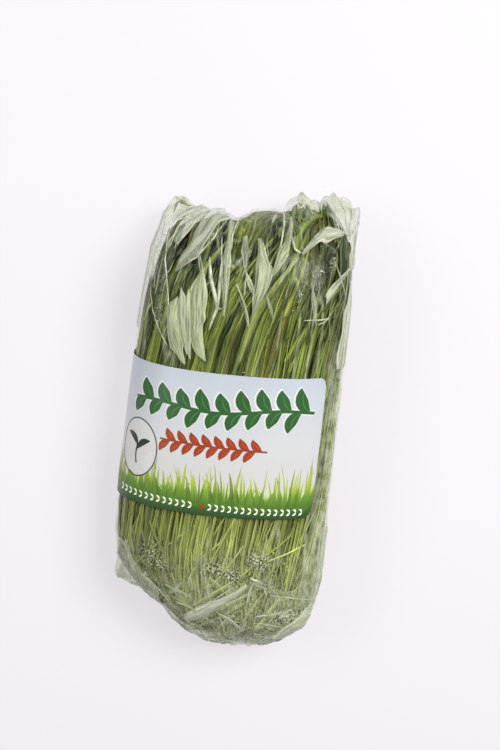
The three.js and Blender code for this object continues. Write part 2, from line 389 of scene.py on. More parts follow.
def give(piece, name, values):
    """A number at each corner of a piece, for its material to read."""
    attribute = piece.data.attributes.new(name, "FLOAT", "POINT")
    attribute.data.foreach_set("value", np.broadcast_to(values, len(piece.data.vertices)).astype(np.float32))


def copied(template, places, numbers=()):
    """A copy of a modelled piece with its own mesh, put in place, with a number for each attribute."""
    copy = template.copy()
    copy.data = template.data.copy()
    bpy.context.collection.objects.link(copy)
    shape(copy, places)
    for name, values in numbers:
        give(copy, name, values)
    return copy


def removed(piece):
    bpy.data.objects.remove(piece)


# ---- materials ----
class Nodes:
    """The node tree of one material."""

    def __init__(self, name):
        self.material = bpy.data.materials.new(name)
        self.material.use_nodes = True
        self.tree = self.material.node_tree
        self.tree.nodes.clear()
        self.output = self.tree.nodes.new("ShaderNodeOutputMaterial")

    def node(self, kind, inputs=(), **settings):
        """A node with its settings, its plain values and its links."""
        node = self.tree.nodes.new("ShaderNode" + kind)
        for key, value in settings.items():
            setattr(node, key, value)
        for key, value in dict(inputs).items():
            if isinstance(value, bpy.types.NodeSocket):
                self.tree.links.new(value, node.inputs[key])
            else:
                node.inputs[key].default_value = value
        return node

    def add(self, kind, inputs=(), **settings):
        """The first output of a new node."""
        return self.node(kind, inputs, **settings).outputs[0]

    def math(self, operation, a, b=0.0, clamp=False):
        return self.add("Math", {0: a, 1: b}, operation=operation, use_clamp=clamp)

    def times(self, a, b, clamp=False):
        return self.math("MULTIPLY", a, b, clamp)

    def plus(self, a, b, clamp=False):
        return self.math("ADD", a, b, clamp)

    def mixed(self, share, a, b):
        return self.node("Mix", {0: share, 6: a, 7: b}, data_type="RGBA").outputs[2]

    def ramp(self, share, stops):
        """A colour that runs through stops, each a share and a colour code."""
        node = self.node("ValToRGB", {0: share})
        ramp = node.color_ramp
        while len(ramp.elements) < len(stops):
            ramp.elements.new(0.5)
        for element, (position, code) in zip(ramp.elements, stops):
            element.position = position
            element.color = rgb(code)
        return node.outputs[0]

    def number(self, name):
        """A number that the piece holds at each corner."""
        return self.node("Attribute", attribute_name=name).outputs["Fac"]

    def map_shares(self):
        """The shares across and along the piece's own map."""
        return self.node("SeparateXYZ", {0: self.add("UVMap", uv_map="UVMap")}).outputs[:2]

    def spread(self, x, y, z=0.0):
        return self.add("CombineXYZ", {0: x, 1: y, 2: z})

    def speckle(self, scale, detail=2.0, place=None, roughness=0.5):
        """Soft noise, on the piece itself unless another place is given."""
        if place is None:
            place = self.node("TexCoord").outputs["Object"]
        inputs = {"Vector": place, "Scale": scale, "Detail": detail, "Roughness": roughness}
        return self.add("TexNoise", inputs)

    def ranged(self, value, low, high, to_low, to_high):
        """A number drawn out from low..high to to_low..to_high, and held at both ends."""
        return self.add("MapRange", {0: value, 1: low, 2: high, 3: to_low, 4: to_high})

    def shaded(self, colour, shade):
        """A colour made lighter or darker by a number."""
        return self.add("VectorMath", {0: colour, 1: self.spread(shade, shade, shade)}, operation="MULTIPLY")

    def bump(self, height, strength, depth):
        return self.add("Bump", {"Height": height, "Strength": strength, "Distance": depth})

    def body(self, colour, roughness, specular, normal=None, more=()):
        """The main shader, its constants set on its own sockets."""
        inputs = {"Base Color": colour, "Roughness": roughness, "Specular IOR Level": specular, **dict(more)}
        if normal is not None:
            inputs["Normal"] = normal
        return self.add("BsdfPrincipled", inputs)

    def clear(self, colour):
        return self.add("BsdfTransparent", {"Color": colour})

    def blend(self, share, a, b):
        return self.add("MixShader", {0: share, 1: a, 2: b})

    def grazing(self, normal):
        """The share that a thin clear surface reflects, the same from either side."""
        facing = self.node("LayerWeight", {"Normal": normal}).outputs["Facing"]
        return self.plus(self.times(self.math("POWER", facing, 5.0), 0.3), 0.004)

    def surface(self, socket):
        self.tree.links.new(socket, self.output.inputs["Surface"])
        return self.material


def rgb(hex_code):
    """A colour as it is seen, turned into the linear one that a shader takes."""
    channels = [(hex_code >> s & 255) / 255 for s in (16, 8, 0)]
    linear = [c / 12.92 if c < 0.04045 else ((c + 0.055) / 1.055) ** 2.4 for c in channels]
    return (*linear, 1.0)


GRASS_HEIGHTS = (0.0, 0.06, 0.4, 0.6, 0.85, 1.0)
LIGHT_GRASS = (0xE4E0B8, 0xDCE092, 0xCBD572, 0x9DB04E, 0x80943F, 0x768B3E)
DARK_GRASS = (0xA6A660, 0xA0AA5C, 0x677836, 0x34431A, 0x263511, 0x243311)
YELLOWED_GRASS = 0xB9AE4E
PALE_GRASS = 0xCBD380
HAZE_STOPS = ((0.1, 0xC6CDA8), (0.3, 0xC2C9A6), (0.9, 0xDCE0C8))
PLEAT_HAZE_AND_REFLECTION_STOPS = ((0.0, 0xB6C088), (0.5, 0xC2C9A8), (1.0, 0xCCD0BA))
FOLD_AND_HIGHLIGHT_STOPS = ((0.2, 0xC2C9A2), (0.85, 0xD2D8BA))
PAPER_STOPS = (
    (0.0, 0x2A4420), (0.045, 0x375822), (0.08, 0x537828), (0.13, 0x7E9C3C), (0.18, 0xC4CFA0),
    (0.23, 0xC8C7C2), (0.5, 0xC5C6C7), (0.82, 0xBBC1C7), (1.0, 0xB3BAC2),
)
SATIN = {"Coat Weight": 0.2, "Coat Roughness": 0.2}


def grass_material(name, pale):
    """Blades from straw-coloured cut ends through pale stems to dark leaves, with fine veins along them,
    painted shade from their place in the bundle, a painted highlight along their edges and painted shade on
    one side.
    """
    n = Nodes(name)
    across, run = n.map_shares()
    height, tone = n.number("height"), n.number("tone")
    dark, light = (n.ramp(height, list(zip(GRASS_HEIGHTS, codes))) for codes in (DARK_GRASS, LIGHT_GRASS))
    base = n.mixed(tone, dark, light)
    base = n.mixed(n.times(n.math("POWER", n.number("warm"), 3.0), 0.35), base, rgb(YELLOWED_GRASS))
    base = n.mixed(pale, base, rgb(PALE_GRASS))
    veins = n.speckle(1.0, 2.0, n.spread(n.times(across, 12.0), n.times(run, 4.0), n.times(tone, 50.0)))
    vary = n.plus(n.times(veins, 0.7), n.times(n.speckle(60.0, 3.0), 0.3))
    # Painted shade: each blade's shade number darkens it deep in the bundle and lightens it near the top
    # edge.
    base = n.shaded(base, n.times(n.ranged(vary, 0.36, 0.64, 0.45, 1.4), n.number("shade")))
    # Painted highlight along both long edges of each blade.
    turned = n.times(across, 2 * math.pi)
    edge_highlight = n.math("POWER", n.math("SUBTRACT", 1.0, n.math("ABSOLUTE", n.math("SINE", turned))), 3.0)
    base = n.shaded(base, n.plus(n.times(edge_highlight, 0.7), 0.9))
    # Painted shade on one long side of each blade and painted light on the other, as if lit from the right.
    base = n.shaded(base, n.math("SUBTRACT", 1.0, n.times(n.math("COSINE", turned), 0.45)))
    bump = n.bump(veins, 0.35, 0.0004)
    through_leaf = n.add("BsdfTranslucent", {"Color": base, "Normal": bump})
    return n.surface(n.blend(0.15, n.body(base, 0.45, 0.35, bump), through_leaf))


def film_material():
    """Clear glossy film with fine drawn lines, hazed where it stands off the grass, and speckled where wet
    with painted glints and painted dark specks that stand in for light bent through drops.
    """
    n = Nodes("clear_film")
    around, run = n.map_shares()
    haze = n.number("haze")

    def lines(waves, runs):
        return n.speckle(1.0, 2.0, n.spread(n.times(around, waves), n.times(run, runs)))

    streaked = n.ranged(lines(230.0, 42.0), 0.35, 0.6, 0.35, 1.2)
    drawn = n.ranged(lines(430.0, 16.0), 0.65, 0.7, 0.0, 0.4)
    patches = n.speckle(90.0, 3.0)
    cloud = n.ranged(patches, 0.38, 0.62, 0.0, 1.1)
    fine = n.speckle(1050.0, 1.0)
    damp = n.times(n.number("wet"), cloud, clamp=True)
    # Painted glints (white) and painted dark specks where the film is wet, standing in for light bent through
    # drops.
    white = n.times(damp, n.ranged(fine, 0.55, 0.6, 0.0, 1.0))
    painted_dark_specks = n.times(damp, n.ranged(fine, 0.47, 0.41, 0.0, 1.0))
    mottled = n.ranged(n.speckle(150.0, 3.0), 0.36, 0.62, 0.3, 1.7)
    veil = n.times(n.times(haze, n.add("Mix", {0: damp, 2: streaked, 3: cloud})), mottled)
    amount = n.plus(n.plus(veil, white), drawn, clamp=True)
    bump = n.bump(patches, 0.35, 0.0008)
    clear = n.clear(n.mixed(painted_dark_specks, (0.996, 0.998, 0.992, 1), (0.25, 0.28, 0.2, 1)))
    gloss = n.add("BsdfAnisotropic", {"Color": (1, 1, 1, 1), "Roughness": 0.14, "Normal": bump})
    glass = n.blend(n.grazing(bump), clear, gloss)
    return n.surface(n.blend(amount, glass, n.body(n.ramp(haze, HAZE_STOPS), 0.45, 0.4, bump)))


def pleat_haze_and_reflection_material():
    """Doubled film: pale and half clear, the paleness part haze and part painted reflection, with fine folds
    along it and a lighter edge.
    """
    n = Nodes("film_pleat")
    pale = n.number("pale")
    along_folds = n.spread(n.times(n.number("fibre"), 1.5), n.times(n.number("reach"), 0.06))
    fibres = n.speckle(1.0, 3.0, along_folds, 0.65)
    streaked = n.ranged(fibres, 0.38, 0.57, n.times(pale, 0.75), 1.2)
    rim = n.ranged(n.number("inset"), 0.02, 0.1, 0.3, 0.0)
    amount = n.plus(n.times(pale, streaked), rim, clamp=True)
    colour = n.shaded(n.ramp(n.number("white"), PLEAT_HAZE_AND_REFLECTION_STOPS), n.ranged(fibres, 0.35, 0.62, 0.8, 1.06))
    mist = n.body(colour, 0.4, 0.45, n.bump(fibres, 0.35, 0.0008))
    return n.surface(n.blend(amount, n.clear((0.99, 1, 0.99, 1)), mist))


def fold_and_highlight_material():
    """Film folded double: whiter than the wall beside it, partly from the doubled film and partly a painted
    highlight along the fold.
    """
    n = Nodes("film_fold_and_highlight")
    strong = n.number("strong")
    amount = n.times(n.ranged(n.speckle(160.0), 0.38, 0.6, 0.3, 1.0), strong, clamp=True)
    white = n.body(n.ramp(strong, FOLD_AND_HIGHLIGHT_STOPS), 0.3, 0.6)
    return n.surface(n.blend(amount, n.clear((1, 1, 1, 1)), white))


def water_material():
    """Clear drops that bend the light through them."""
    n = Nodes("water_drops")
    ripple = n.bump(n.speckle(700.0), 0.1, 0.0002)
    water = {"IOR": 1.33, "Transmission Weight": 1.0}
    return n.surface(n.body((0.95, 0.98, 0.93, 1), 0.05, 0.5, ripple, water))


def label_material():
    """Satin paper: white fading to pale blue at the top, and a dark green foot."""
    n = Nodes("label_paper")
    ground = n.ramp(n.map_shares()[1], PAPER_STOPS)
    ground = n.shaded(ground, n.ranged(n.speckle(25.0), 0.3, 0.7, 0.97, 1.02))
    return n.surface(n.body(ground, 0.4, 0.4, n.bump(n.speckle(900.0), 0.06, 0.0002), SATIN))


def ink_material(name, *stops):
    """Print whose colour runs with its height on the label."""
    n = Nodes(name)
    strength = n.plus(n.times(n.number("tone"), 0.7), n.times(n.speckle(700.0), 0.2))
    colour = n.shaded(n.ramp(n.number("height"), stops), n.plus(strength, 0.55))
    return n.surface(n.body(colour, 0.4, 0.4, None, SATIN))


def one_ink(name, code):
    return ink_material(name, (0.0, code), (1.0, code))


def dress(piece, material, slot, *nodes):
    piece.data.materials.clear()
    piece.data.materials.append(material)
    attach(piece, "root")
    if nodes:
        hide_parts(*nodes)


# ---- camera, light and floor ----
LENS_MM = 48.43
LOOK_AT = (5.3, 25.9, 28.0)
CAMERA_AWAY = 565.0
CAMERA_TILT = 7.0
CAMERA_ROLL = 5.8


def facing(away, target, up):
    """A turn that points an object's -Z from away at target, with its +Y as near up as it can be."""
    back = Vector(away) - Vector(target)
    back.normalize()
    right = Vector(up).cross(back).normalized()
    return Matrix((right, back.cross(right), back)).transposed()


def camera():
    tilt = math.radians(CAMERA_TILT)
    roll = math.radians(CAMERA_ROLL)
    target = Vector(to_frame(np.array(LOOK_AT)))
    spot = target + Vector((0, math.sin(tilt), math.cos(tilt))) * CAMERA_AWAY * MM
    turn = facing(spot, target, (0, 1, 0)) @ Matrix.Rotation(roll, 3, "Z")
    data = bpy.data.cameras.new("camera")
    data.lens = LENS_MM
    data.sensor_width = 36.0
    data.clip_start = 0.01
    eye = bpy.data.objects.new("camera", data)
    eye.matrix_world = Matrix.Translation(spot) @ turn.to_4x4()
    bpy.context.scene.collection.objects.link(eye)
    bpy.context.scene.camera = eye


def softbox(name, spot, size, power):
    data = bpy.data.lights.new(name, "AREA")
    data.shape = "RECTANGLE"
    data.size, data.size_y = size
    data.energy = power
    lamp = bpy.data.objects.new(name, data)
    turn = facing(spot, (0, 0, 0.03), (0, 1, 0.01))
    lamp.matrix_world = Matrix.Translation(spot) @ turn.to_4x4()
    bpy.context.scene.collection.objects.link(lamp)


def studio():
    softbox("key_softbox", (0.5, 0.45, 0.85), (0.5, 0.5), 13.0)
    softbox("fill_softbox", (-0.75, 0.2, 0.75), (0.4, 0.9), 4.5)
    world = bpy.data.worlds.new("studio_air")
    world.use_nodes = True
    air = world.node_tree.nodes["Background"]
    air.inputs["Color"].default_value = (1.0, 0.985, 1.0, 1)
    air.inputs["Strength"].default_value = 0.3
    bpy.context.scene.world = world
    bpy.context.scene.view_settings.view_transform = "Standard"
    bpy.context.scene.view_settings.look = "None"


def floor():
    """A pale sheet lit softly from below as well as above."""
    deselect()
    bpy.ops.mesh.primitive_plane_add(size=40)
    base = named("studio_floor")
    shape(base, corners(base) - np.array((0, 0, 0.0002)))
    n = Nodes("lit_white_sheet")
    colour = n.mixed(n.speckle(3.0), (0.25, 0.24, 0.25, 1), (0.27, 0.26, 0.27, 1))
    glow = {"Emission Color": (0.985, 0.945, 0.98, 1), "Emission Strength": 0.61}
    base.data.materials.append(n.surface(n.body(colour, 0.8, 0.1, None, glow)))


# ---- the film bag ----
FILM_WALL = 0.25
FILM_COLUMNS = 250
FILM_ROWS = 180
LABEL_FROM_Q = 5.9
LABEL_TO_Q = 8.35
# Pleats of film that stand off the grass: how far, how pale, how white, and their two edges as stops of u, q.
# Their paleness is part haze of the doubled film and part painted reflection of the lamps.
PLEATS = {
    "left_lobe": (
        1.2, 0.6, 0.3,
        ((0.6245, 9.28), (0.637, 9.1), (0.637, 8.89), (0.63, 8.59), (0.62, 8.39), (0.607, 8.27),
         (0.594, 8.2)),
        ((0.623, 9.28), (0.619, 9.12), (0.617, 8.95), (0.612, 8.78), (0.601, 8.56), (0.596, 8.36),
         (0.592, 8.2)),
    ),
    "middle_lobe": (
        1, 0.56, 0.5,
        ((0.6205, 9.5), (0.619, 9.24), (0.616, 8.99), (0.611, 8.75), (0.601, 8.5), (0.592, 8.35)),
        ((0.619, 9.5), (0.606, 9.24), (0.602, 8.99), (0.599, 8.75), (0.594, 8.5), (0.59, 8.35)),
    ),
    "inner_lobe": (
        1, 0.56, 0.4,
        ((0.6055, 9.48), (0.609, 9.24), (0.606, 8.99), (0.602, 8.75), (0.596, 8.5), (0.586, 8.28)),
        ((0.604, 9.48), (0.598, 9.26), (0.593, 9.01), (0.59, 8.75), (0.587, 8.5), (0.583, 8.28)),
    ),
    "right_lobe": (
        1.6, 0.6, 0.35,
        ((0.587, 9.9), (0.597, 9.6), (0.597, 9.18), (0.592, 8.85), (0.586, 8.6), (0.577, 8.42),
         (0.558, 8.28)),
        ((0.583, 9.9), (0.575, 9.55), (0.569, 9.18), (0.568, 8.93), (0.571, 8.79), (0.566, 8.55),
         (0.556, 8.28)),
    ),
    "vee_left": (
        2, 0.5, 0.35,
        ((0.499, 10.77), (0.496, 10.41), (0.493, 10.05), (0.489, 9.49), (0.487, 9.1)),
        ((0.493, 10.8), (0.477, 10.39), (0.464, 10.11), (0.47, 9.63), (0.484, 9.1)),
    ),
    "vee_right": (
        1.6, 0.5, 0.4,
        ((0.465, 10.05), (0.455, 10.58), (0.447, 10.88), (0.438, 11.6)),
        ((0.459, 10), (0.444, 10.41), (0.437, 10.62), (0.434, 11.5)),
    ),
    "right_fan": (
        1.8, 0.6, 0.8,
        ((0.415, 10.56), (0.384, 11.1), (0.362, 11.5), (0.345, 11.52), (0.32, 11.4)),
        ((0.413, 10.52), (0.394, 10.72), (0.374, 10.87), (0.35, 11.05), (0.32, 11.36)),
    ),
    "hood": (
        2.2, 0.26, 0.95,
        ((0.638, 9.88), (0.634, 10.25), (0.622, 10.6), (0.613, 11.2)),
        ((0.637, 9.86), (0.605, 10.25), (0.579, 10.73), (0.563, 11.3)),
    ),
    "hood_fold": (
        1, 0.3, 0.9,
        ((0.634, 10.1), (0.616, 10.5), (0.598, 10.9), (0.592, 11.3)),
        ((0.628, 10.05), (0.604, 10.45), (0.586, 10.85), (0.574, 11.3)),
    ),
    "hood_edge": (
        1.6, 0.3, 0.8,
        ((0.66, 10.6), (0.648, 11.1), (0.61, 11.5)),
        ((0.648, 10.5), (0.63, 11), (0.6, 11.4)),
    ),
    "pillow": (
        0.5, 0.4, 0.9,
        ((0.684, 11.3), (0.682, 11.9), (0.67, 12.4)),
        ((0.62, 11.5), (0.628, 11.9), (0.636, 12.35)),
    ),
    "sliver": (
        1, 0.45, 0.6,
        ((0.525, 9.74), (0.513, 9.45), (0.501, 9.14), (0.494, 8.88)),
        ((0.521, 9.72), (0.508, 9.44), (0.496, 9.14), (0.489, 8.86)),
    ),
    "ribbon": (
        1, 0.42, 0.45,
        ((0.559, 11.2), (0.554, 10.6), (0.551, 10), (0.544, 9.5), (0.537, 9)),
        ((0.552, 11.2), (0.542, 10.3), (0.537, 9.8), (0.534, 9)),
    ),
    "top_patch": (
        0.8, 0.3, 0.8,
        ((0.527, 10.8), (0.524, 10.51), (0.518, 10.24), (0.512, 10.05)),
        ((0.516, 10.8), (0.512, 10.53), (0.511, 10.34), (0.511, 10.05)),
    ),
    "right_slash": (
        1.4, 0.45, 0.8,
        ((0.306, 10.4), (0.33, 10.1), (0.36, 9.65)),
        ((0.303, 10.35), (0.332, 9.9), (0.357, 9.45)),
    ),
    "right_corner": (
        1.2, 0.12, 0.95,
        ((0.35, 12.2), (0.345, 11.8), (0.318, 11.4)),
        ((0.32, 12.3), (0.309, 11.9), (0.308, 11.45)),
    ),
    "low_band": (
        1.2, 0.58, 0.9,
        ((0.627, 3.04), (0.562, 3.58), (0.515, 4.02), (0.476, 4.4), (0.447, 4.68)),
        ((0.634, 2.61), (0.571, 3.12), (0.515, 3.67), (0.472, 4.12), (0.444, 4.6)),
    ),
    "low_facet": (
        1.2, 0.8, 0.55,
        ((0.388, 2.26), (0.37, 2.79), (0.32, 3.54), (0.29, 3.58)),
        ((0.35, 1.95), (0.318, 2.1), (0.291, 2.5), (0.285, 3.3)),
    ),
    "low_left": (
        0.6, 0.22, 0.8,
        ((0.797, 3.9), (0.716, 5.1), (0.678, 5.35)),
        ((0.7, 3.1), (0.65, 3.9), (0.668, 4.9)),
    ),
    "side_top": (
        0.6, 0.44, 1,
        ((0.303, 10.35), (0.3, 10.9), (0.301, 11.5), (0.304, 12.3)),
        ((0.288, 10.3), (0.27, 10.8), (0.275, 11.5), (0.29, 12.3)),
    ),
    "side_strip": (
        0.6, 0.5, 0.9,
        ((0.312, 8.3), (0.306, 8.8), (0.302, 9.3), (0.288, 9.95)),
        ((0.27, 8.3), (0.268, 8.8), (0.268, 9.3), (0.28, 9.95)),
    ),
    "low_side": (
        0.6, 0.35, 0.6,
        ((0.8, 5.9), (0.8, 5.3), (0.79, 4.6)),
        ((0.765, 5.9), (0.762, 5.3), (0.755, 4.7)),
    ),
    "low_strip": (
        0.6, 0.3, 0.7,
        ((0.31, 3.6), (0.3, 4.6), (0.295, 5.9)),
        ((0.285, 3.4), (0.27, 4.6), (0.27, 5.9)),
    ),
    "left_strip": (
        0.8, 0.12, 0.8,
        ((0.745, 8.6), (0.745, 10.5), (0.72, 12.2)),
        ((0.725, 8.6), (0.715, 10.5), (0.7, 11.8)),
    ),
    "back_fan": (
        1.6, 0.35, 0.5,
        ((0.12, 8.8), (0.1, 10.2), (0.06, 11.2)),
        ((0.1, 8.8), (0.07, 9.8), (0.05, 11.1)),
    ),
    "back_lobe": (
        1.4, 0.35, 0.5,
        ((0.92, 9), (0.91, 10), (0.88, 10.8)),
        ((0.87, 9), (0.86, 9.8), (0.86, 10.8)),
    ),
}
# Sharp creases that show by themselves: width, and the places each passes through as u, q.
CREASES = (
    (0.9, ((0.683, 10.95), (0.677, 10.65), (0.643, 9.25), (0.634, 8.7))),
    (0.8, ((0.684, 10.51), (0.681, 10.9), (0.671, 11.18), (0.654, 11.41), (0.624, 11.44))),
    (0.7, ((0.67, 10.37), (0.664, 10.76), (0.652, 11.06), (0.631, 11.26))),
    (0.6, ((0.655, 10.38), (0.65, 10.7), (0.637, 10.98), (0.621, 11.22))),
    (1.0, ((0.638, 9.88), (0.605, 10.22), (0.579, 10.7), (0.562, 11.3))),
    (2.2, ((0.58, 10.31), (0.57, 9.83), (0.549, 9.14), (0.559, 8.7))),
    (1.4, ((0.556, 10.2), (0.552, 9.6), (0.547, 9.11))),
    (1.2, ((0.551, 9.14), (0.54, 9.13))),
    (1.0, ((0.559, 11.3), (0.55, 10.7), (0.54, 10.2), (0.535, 9.1))),
    (0.8, ((0.566, 10.8), (0.552, 10.0), (0.547, 9.3))),
    (0.8, ((0.544, 11.4), (0.547, 10.8), (0.542, 10.45))),
    (1.2, ((0.451, 12.0), (0.451, 11.3), (0.455, 10.6))),
    (1.7, ((0.435, 11.9), (0.437, 11.0), (0.427, 10.64), (0.415, 10.56))),
    (1.4, ((0.415, 10.56), (0.384, 11.1), (0.352, 11.65))),
    (1.0, ((0.465, 10.08), (0.478, 10.4), (0.492, 10.82))),
    (0.9, ((0.486, 9.1), (0.47, 9.6), (0.462, 10.1), (0.444, 10.41), (0.435, 10.9))),
    (1.2, ((0.316, 12.3), (0.308, 11.85), (0.308, 11.45))),
    (1.1, ((0.308, 10.35), (0.347, 9.9), (0.362, 9.6))),
    (0.9, ((0.397, 9.05), (0.379, 9.08), (0.364, 9.09), (0.345, 9.13), (0.34, 9.28))),
    (0.8, ((0.368, 8.99), (0.354, 9.06), (0.344, 9.13))),
    (0.9, ((0.695, 9.45), (0.677, 8.95), (0.657, 8.7), (0.628, 8.4))),
    (0.8, ((0.627, 3.04), (0.515, 4.02), (0.472, 4.55))),
    (0.8, ((0.634, 2.61), (0.513, 3.69), (0.463, 4.17), (0.415, 4.6))),
    (1.2, ((0.686, 5.38), (0.679, 5.05), (0.675, 4.62), (0.669, 4.23))),
    (0.8, ((0.662, 4.6), (0.639, 3.9), (0.635, 3.1))),
    (1.3, ((0.388, 2.26), (0.37, 2.79), (0.32, 3.54), (0.284, 3.51))),
    (1.0, ((0.445, 3.38), (0.396, 3.53), (0.323, 3.74))),
    (1.9, ((0.44, 4.88), (0.407, 4.66))),
    (0.7, ((0.405, 4.3), (0.364, 4.2), (0.291, 3.95))),
    (1.0, ((0.42, 12.2), (0.41, 11.8), (0.395, 12.1))),
    (0.9, ((0.395, 11.9), (0.37, 11.6), (0.35, 11.2))),
)


def front_run():
    """Length along the front of the bag from its sealed end to each of many sections."""
    q = np.linspace(0, LAST, 33)
    steps = np.linalg.norm(np.diff(skin(0.5, q), axis=0), axis=1)
    return q, np.concatenate([[0], np.cumsum(steps)])


RUN_SECTIONS, RUN_LENGTHS = front_run()


def run_to(q):
    """Length in mm along the front to a section."""
    return np.interp(q, RUN_SECTIONS, RUN_LENGTHS)


def inside_by(u, q, outline):
    """How many mm inside an outline on the skin each point is; below zero outside it."""
    outline = np.array(outline)
    wide = float(round_length(outline[:, 1].mean()))
    ends = np.stack([outline[:, 0] * wide, run_to(outline[:, 1])], -1)
    point = np.stack([u * wide, run_to(q)], -1)
    nearest = np.full(len(point), 1e9)
    within = np.zeros(len(point), bool)
    for start, end in zip(ends, np.roll(ends, -1, 0)):
        line = end - start
        share = np.clip((point - start) @ line / (line @ line), 0, 1)
        nearest = np.minimum(nearest, np.linalg.norm(point - start - share[:, None] * line, axis=1))
        crossed = (start[1] > point[:, 1]) != (end[1] > point[:, 1])
        crossing = start[0] + (point[:, 1] - start[1]) * line[0] / (line[1] if line[1] else 1e-9)
        within ^= crossed & (point[:, 0] < crossing)
    return np.where(within, nearest, -nearest)


def under_label(u, q):
    """1 where the film lies under the label, fading to 0 round it."""
    tall = smooth(LABEL_FROM_Q - 0.4, LABEL_FROM_Q, q) - smooth(LABEL_TO_Q, LABEL_TO_Q + 0.35, q)
    wide = smooth(0.29, 0.33, u) - smooth(0.86, 0.9, u)
    return np.clip(tall, 0, 1) * np.clip(wide, 0, 1)


# Where the film is wet inside: u, q, how far each way, and how much.
WET_PATCHES = (
    (0.62, 4.95, 0.045, 0.55, 0.9),
    (0.655, 4.3, 0.03, 0.5, 0.6),
    (0.485, 4.95, 0.05, 0.45, 1.0),
    (0.43, 5.3, 0.035, 0.35, 1.0),
    (0.45, 2.1, 0.12, 0.8, 0.9),
    (0.36, 3.3, 0.05, 0.4, 0.7),
    (0.5, 3.3, 0.05, 0.3, 0.5),
    (0.33, 3.0, 0.05, 0.7, 0.7),
    (0.6, 3.2, 0.05, 0.8, 0.5),
    (0.37, 4.6, 0.06, 0.6, 0.35),
    (0.385, 10.1, 0.04, 0.6, 0.25),
    (0.41, 9.75, 0.01, 0.5, 0.5),
    (0.35, 10.5, 0.012, 0.4, 0.6),
    (0.686, 9.85, 0.012, 0.5, 0.8),
    (0.662, 9.0, 0.012, 0.6, 0.8),
    (0.15, 9.0, 0.06, 1.2, 0.5),
    (0.9, 3.5, 0.08, 1.2, 0.5),
)
# Where the film is pulled in to the grass: u, how far round, mm, and the sections it sets in and ends over.
PULLED_IN = (
    (0.25, 0.07, 2.4, (9.0, 9.8), (11.0, 11.8)),
    (0.78, 0.07, 1.2, (3.2, 4.2), (5.6, 6.2)),
)
# The corners that stand up, and how hazy their film is: u, how far round, and how much.
HAZY_CORNERS = ((0.395, 0.045, 1.0), (0.33, 0.07, 0.6), (0.71, 0.06, 0.8))


def crinkles(u, q):
    """Long, short and crumpled ridges of the film, each from 0 to 1."""
    bend = 0.012 * round_noise(u, q, 9, 0.8, 5)
    long_ones = (1 - np.abs(round_noise(u + bend, q, 26, 0.45, 1))) ** 6
    short_ones = (1 - np.abs(round_noise(u + bend, q, 60, 0.9, 2))) ** 5
    return long_ones, short_ones, (1 - np.abs(round_noise(u, q, 30, 1.9, 3))) ** 5


def wetness(u, q, low_end, short_ones, crumpled):
    """How wet the film is inside, and so where its painted glints and dark specks show: all over the low end,
    and in patches.
    """
    wet = 0.34 * low_end
    for at_u, at_q, wide, tall, strong in WET_PATCHES:
        far = np.hypot((np.mod(u - at_u + 0.5, 1) - 0.5) / wide, (q - at_q) / tall)
        wet += strong * (1 - smooth(0.2, 1.2, far + 0.3 * crumpled)) * (0.75 + 0.5 * short_ones)
    return np.clip(wet, 0, 1)


def haziness(u, q, ends, top_end, long_ones, crumpled):
    """How hazy the film is: at the low end, in the corners, down the right side and on its ridges."""
    corners_up = np.max([strong * bump_at(u, at_u, half) for at_u, half, strong in HAZY_CORNERS], axis=0)
    haze = 0.12 * (1 - smooth(3.6, 6.4, q)) + 0.26 * corners_up * smooth(11.3, 12.2, q)
    haze += 0.12 * smooth(11.9, 12.6, q) * (1 - bump_at(u, 0.48, 0.12))
    haze += 0.32 * bump_at(u, 0.29, 0.06) * (smooth(3.6, 4.8, q) - smooth(8.2, 9.0, q))
    ridges = 0.2 * smooth(0.7, 1.0, long_ones) + 0.12 * smooth(0.6, 1.0, crumpled) * ends
    haze += ridges * (1 - 0.8 * bump_at(u, 0.48, 0.11) * smooth(10.6, 11.8, q))
    haze *= 1 - 0.8 * bump_at(u, 0.765, 0.07) * top_end
    return np.clip(haze, 0, 0.95)


def stand_off(u, q):
    """How far the film stands off the skin, how hazy it is there, and how wet."""
    u, q = np.broadcast_arrays(np.asarray(u, float), np.asarray(q, float))
    top_end = smooth(9.0, 10.8, q)
    low_end = 1 - smooth(3.2, 5.6, q)
    long_ones, short_ones, crumpled = crinkles(u, q)
    off = 0.35 + 0.3 * round_noise(u, q, 8, 0.5, 4)
    off += long_ones * (0.8 + 0.8 * top_end) * (1 - 0.6 * low_end)
    off += short_ones * (0.3 + 0.25 * top_end)
    off += crumpled * (1.1 * low_end + 0.6 * top_end)
    for height, _, _, left, right in PLEATS.values():
        off += height * smooth(-0.4, 1.8, inside_by(u, q, left + right[::-1]))
    off *= 1 - 0.65 * bump_at(u, 0.475, 0.1) * smooth(11.2, 12.2, q)
    for at_u, half, depth, sets_in, ends in PULLED_IN:
        off -= depth * bump_at(u, at_u, half) * (smooth(*sets_in, q) - smooth(*ends, q))
    off *= (1 - 0.95 * under_label(u, q)) * (1 - 0.9 * smooth(13.0, 13.8, q))
    haze = haziness(u, q, low_end + top_end, top_end, long_ones, crumpled)
    return off, haze, wetness(u, q, low_end, short_ones, crumpled)


def even_rows(count):
    """Section numbers of the film's rows: closer together at its two ends."""
    fine = np.linspace(0, LAST, 400)
    top_end = smooth(7.9, 8.4, fine) - smooth(13.2, 14.0, fine)
    weight = 1.0 + 1.3 * (1 - smooth(2.5, 5.5, fine)) + 1.6 * top_end
    gone = np.concatenate([[0], np.cumsum((weight[1:] + weight[:-1]) / 2)])
    return np.interp(np.linspace(0, gone[-1], count), gone, fine)


# How much closer together the film's columns are on the front than under the back.
COLUMN_SHIFT = 0.07
# How far the sealed bottom's middle is drawn in, and how far the lowest film is off the floor, in mm.
SEAL_TUCK = 0.3
FLOOR_GAP = 0.02
# How the film between and beside its corners stands up: u, how far round, and mm.
EAR_RISES = (
    (0.295, 0.03, 7.0), (0.366, 0.024, 8.0), (0.346, 0.016, 5.0), (0.43, 0.026, 4.0), (0.7, 0.02, 2.5),
)


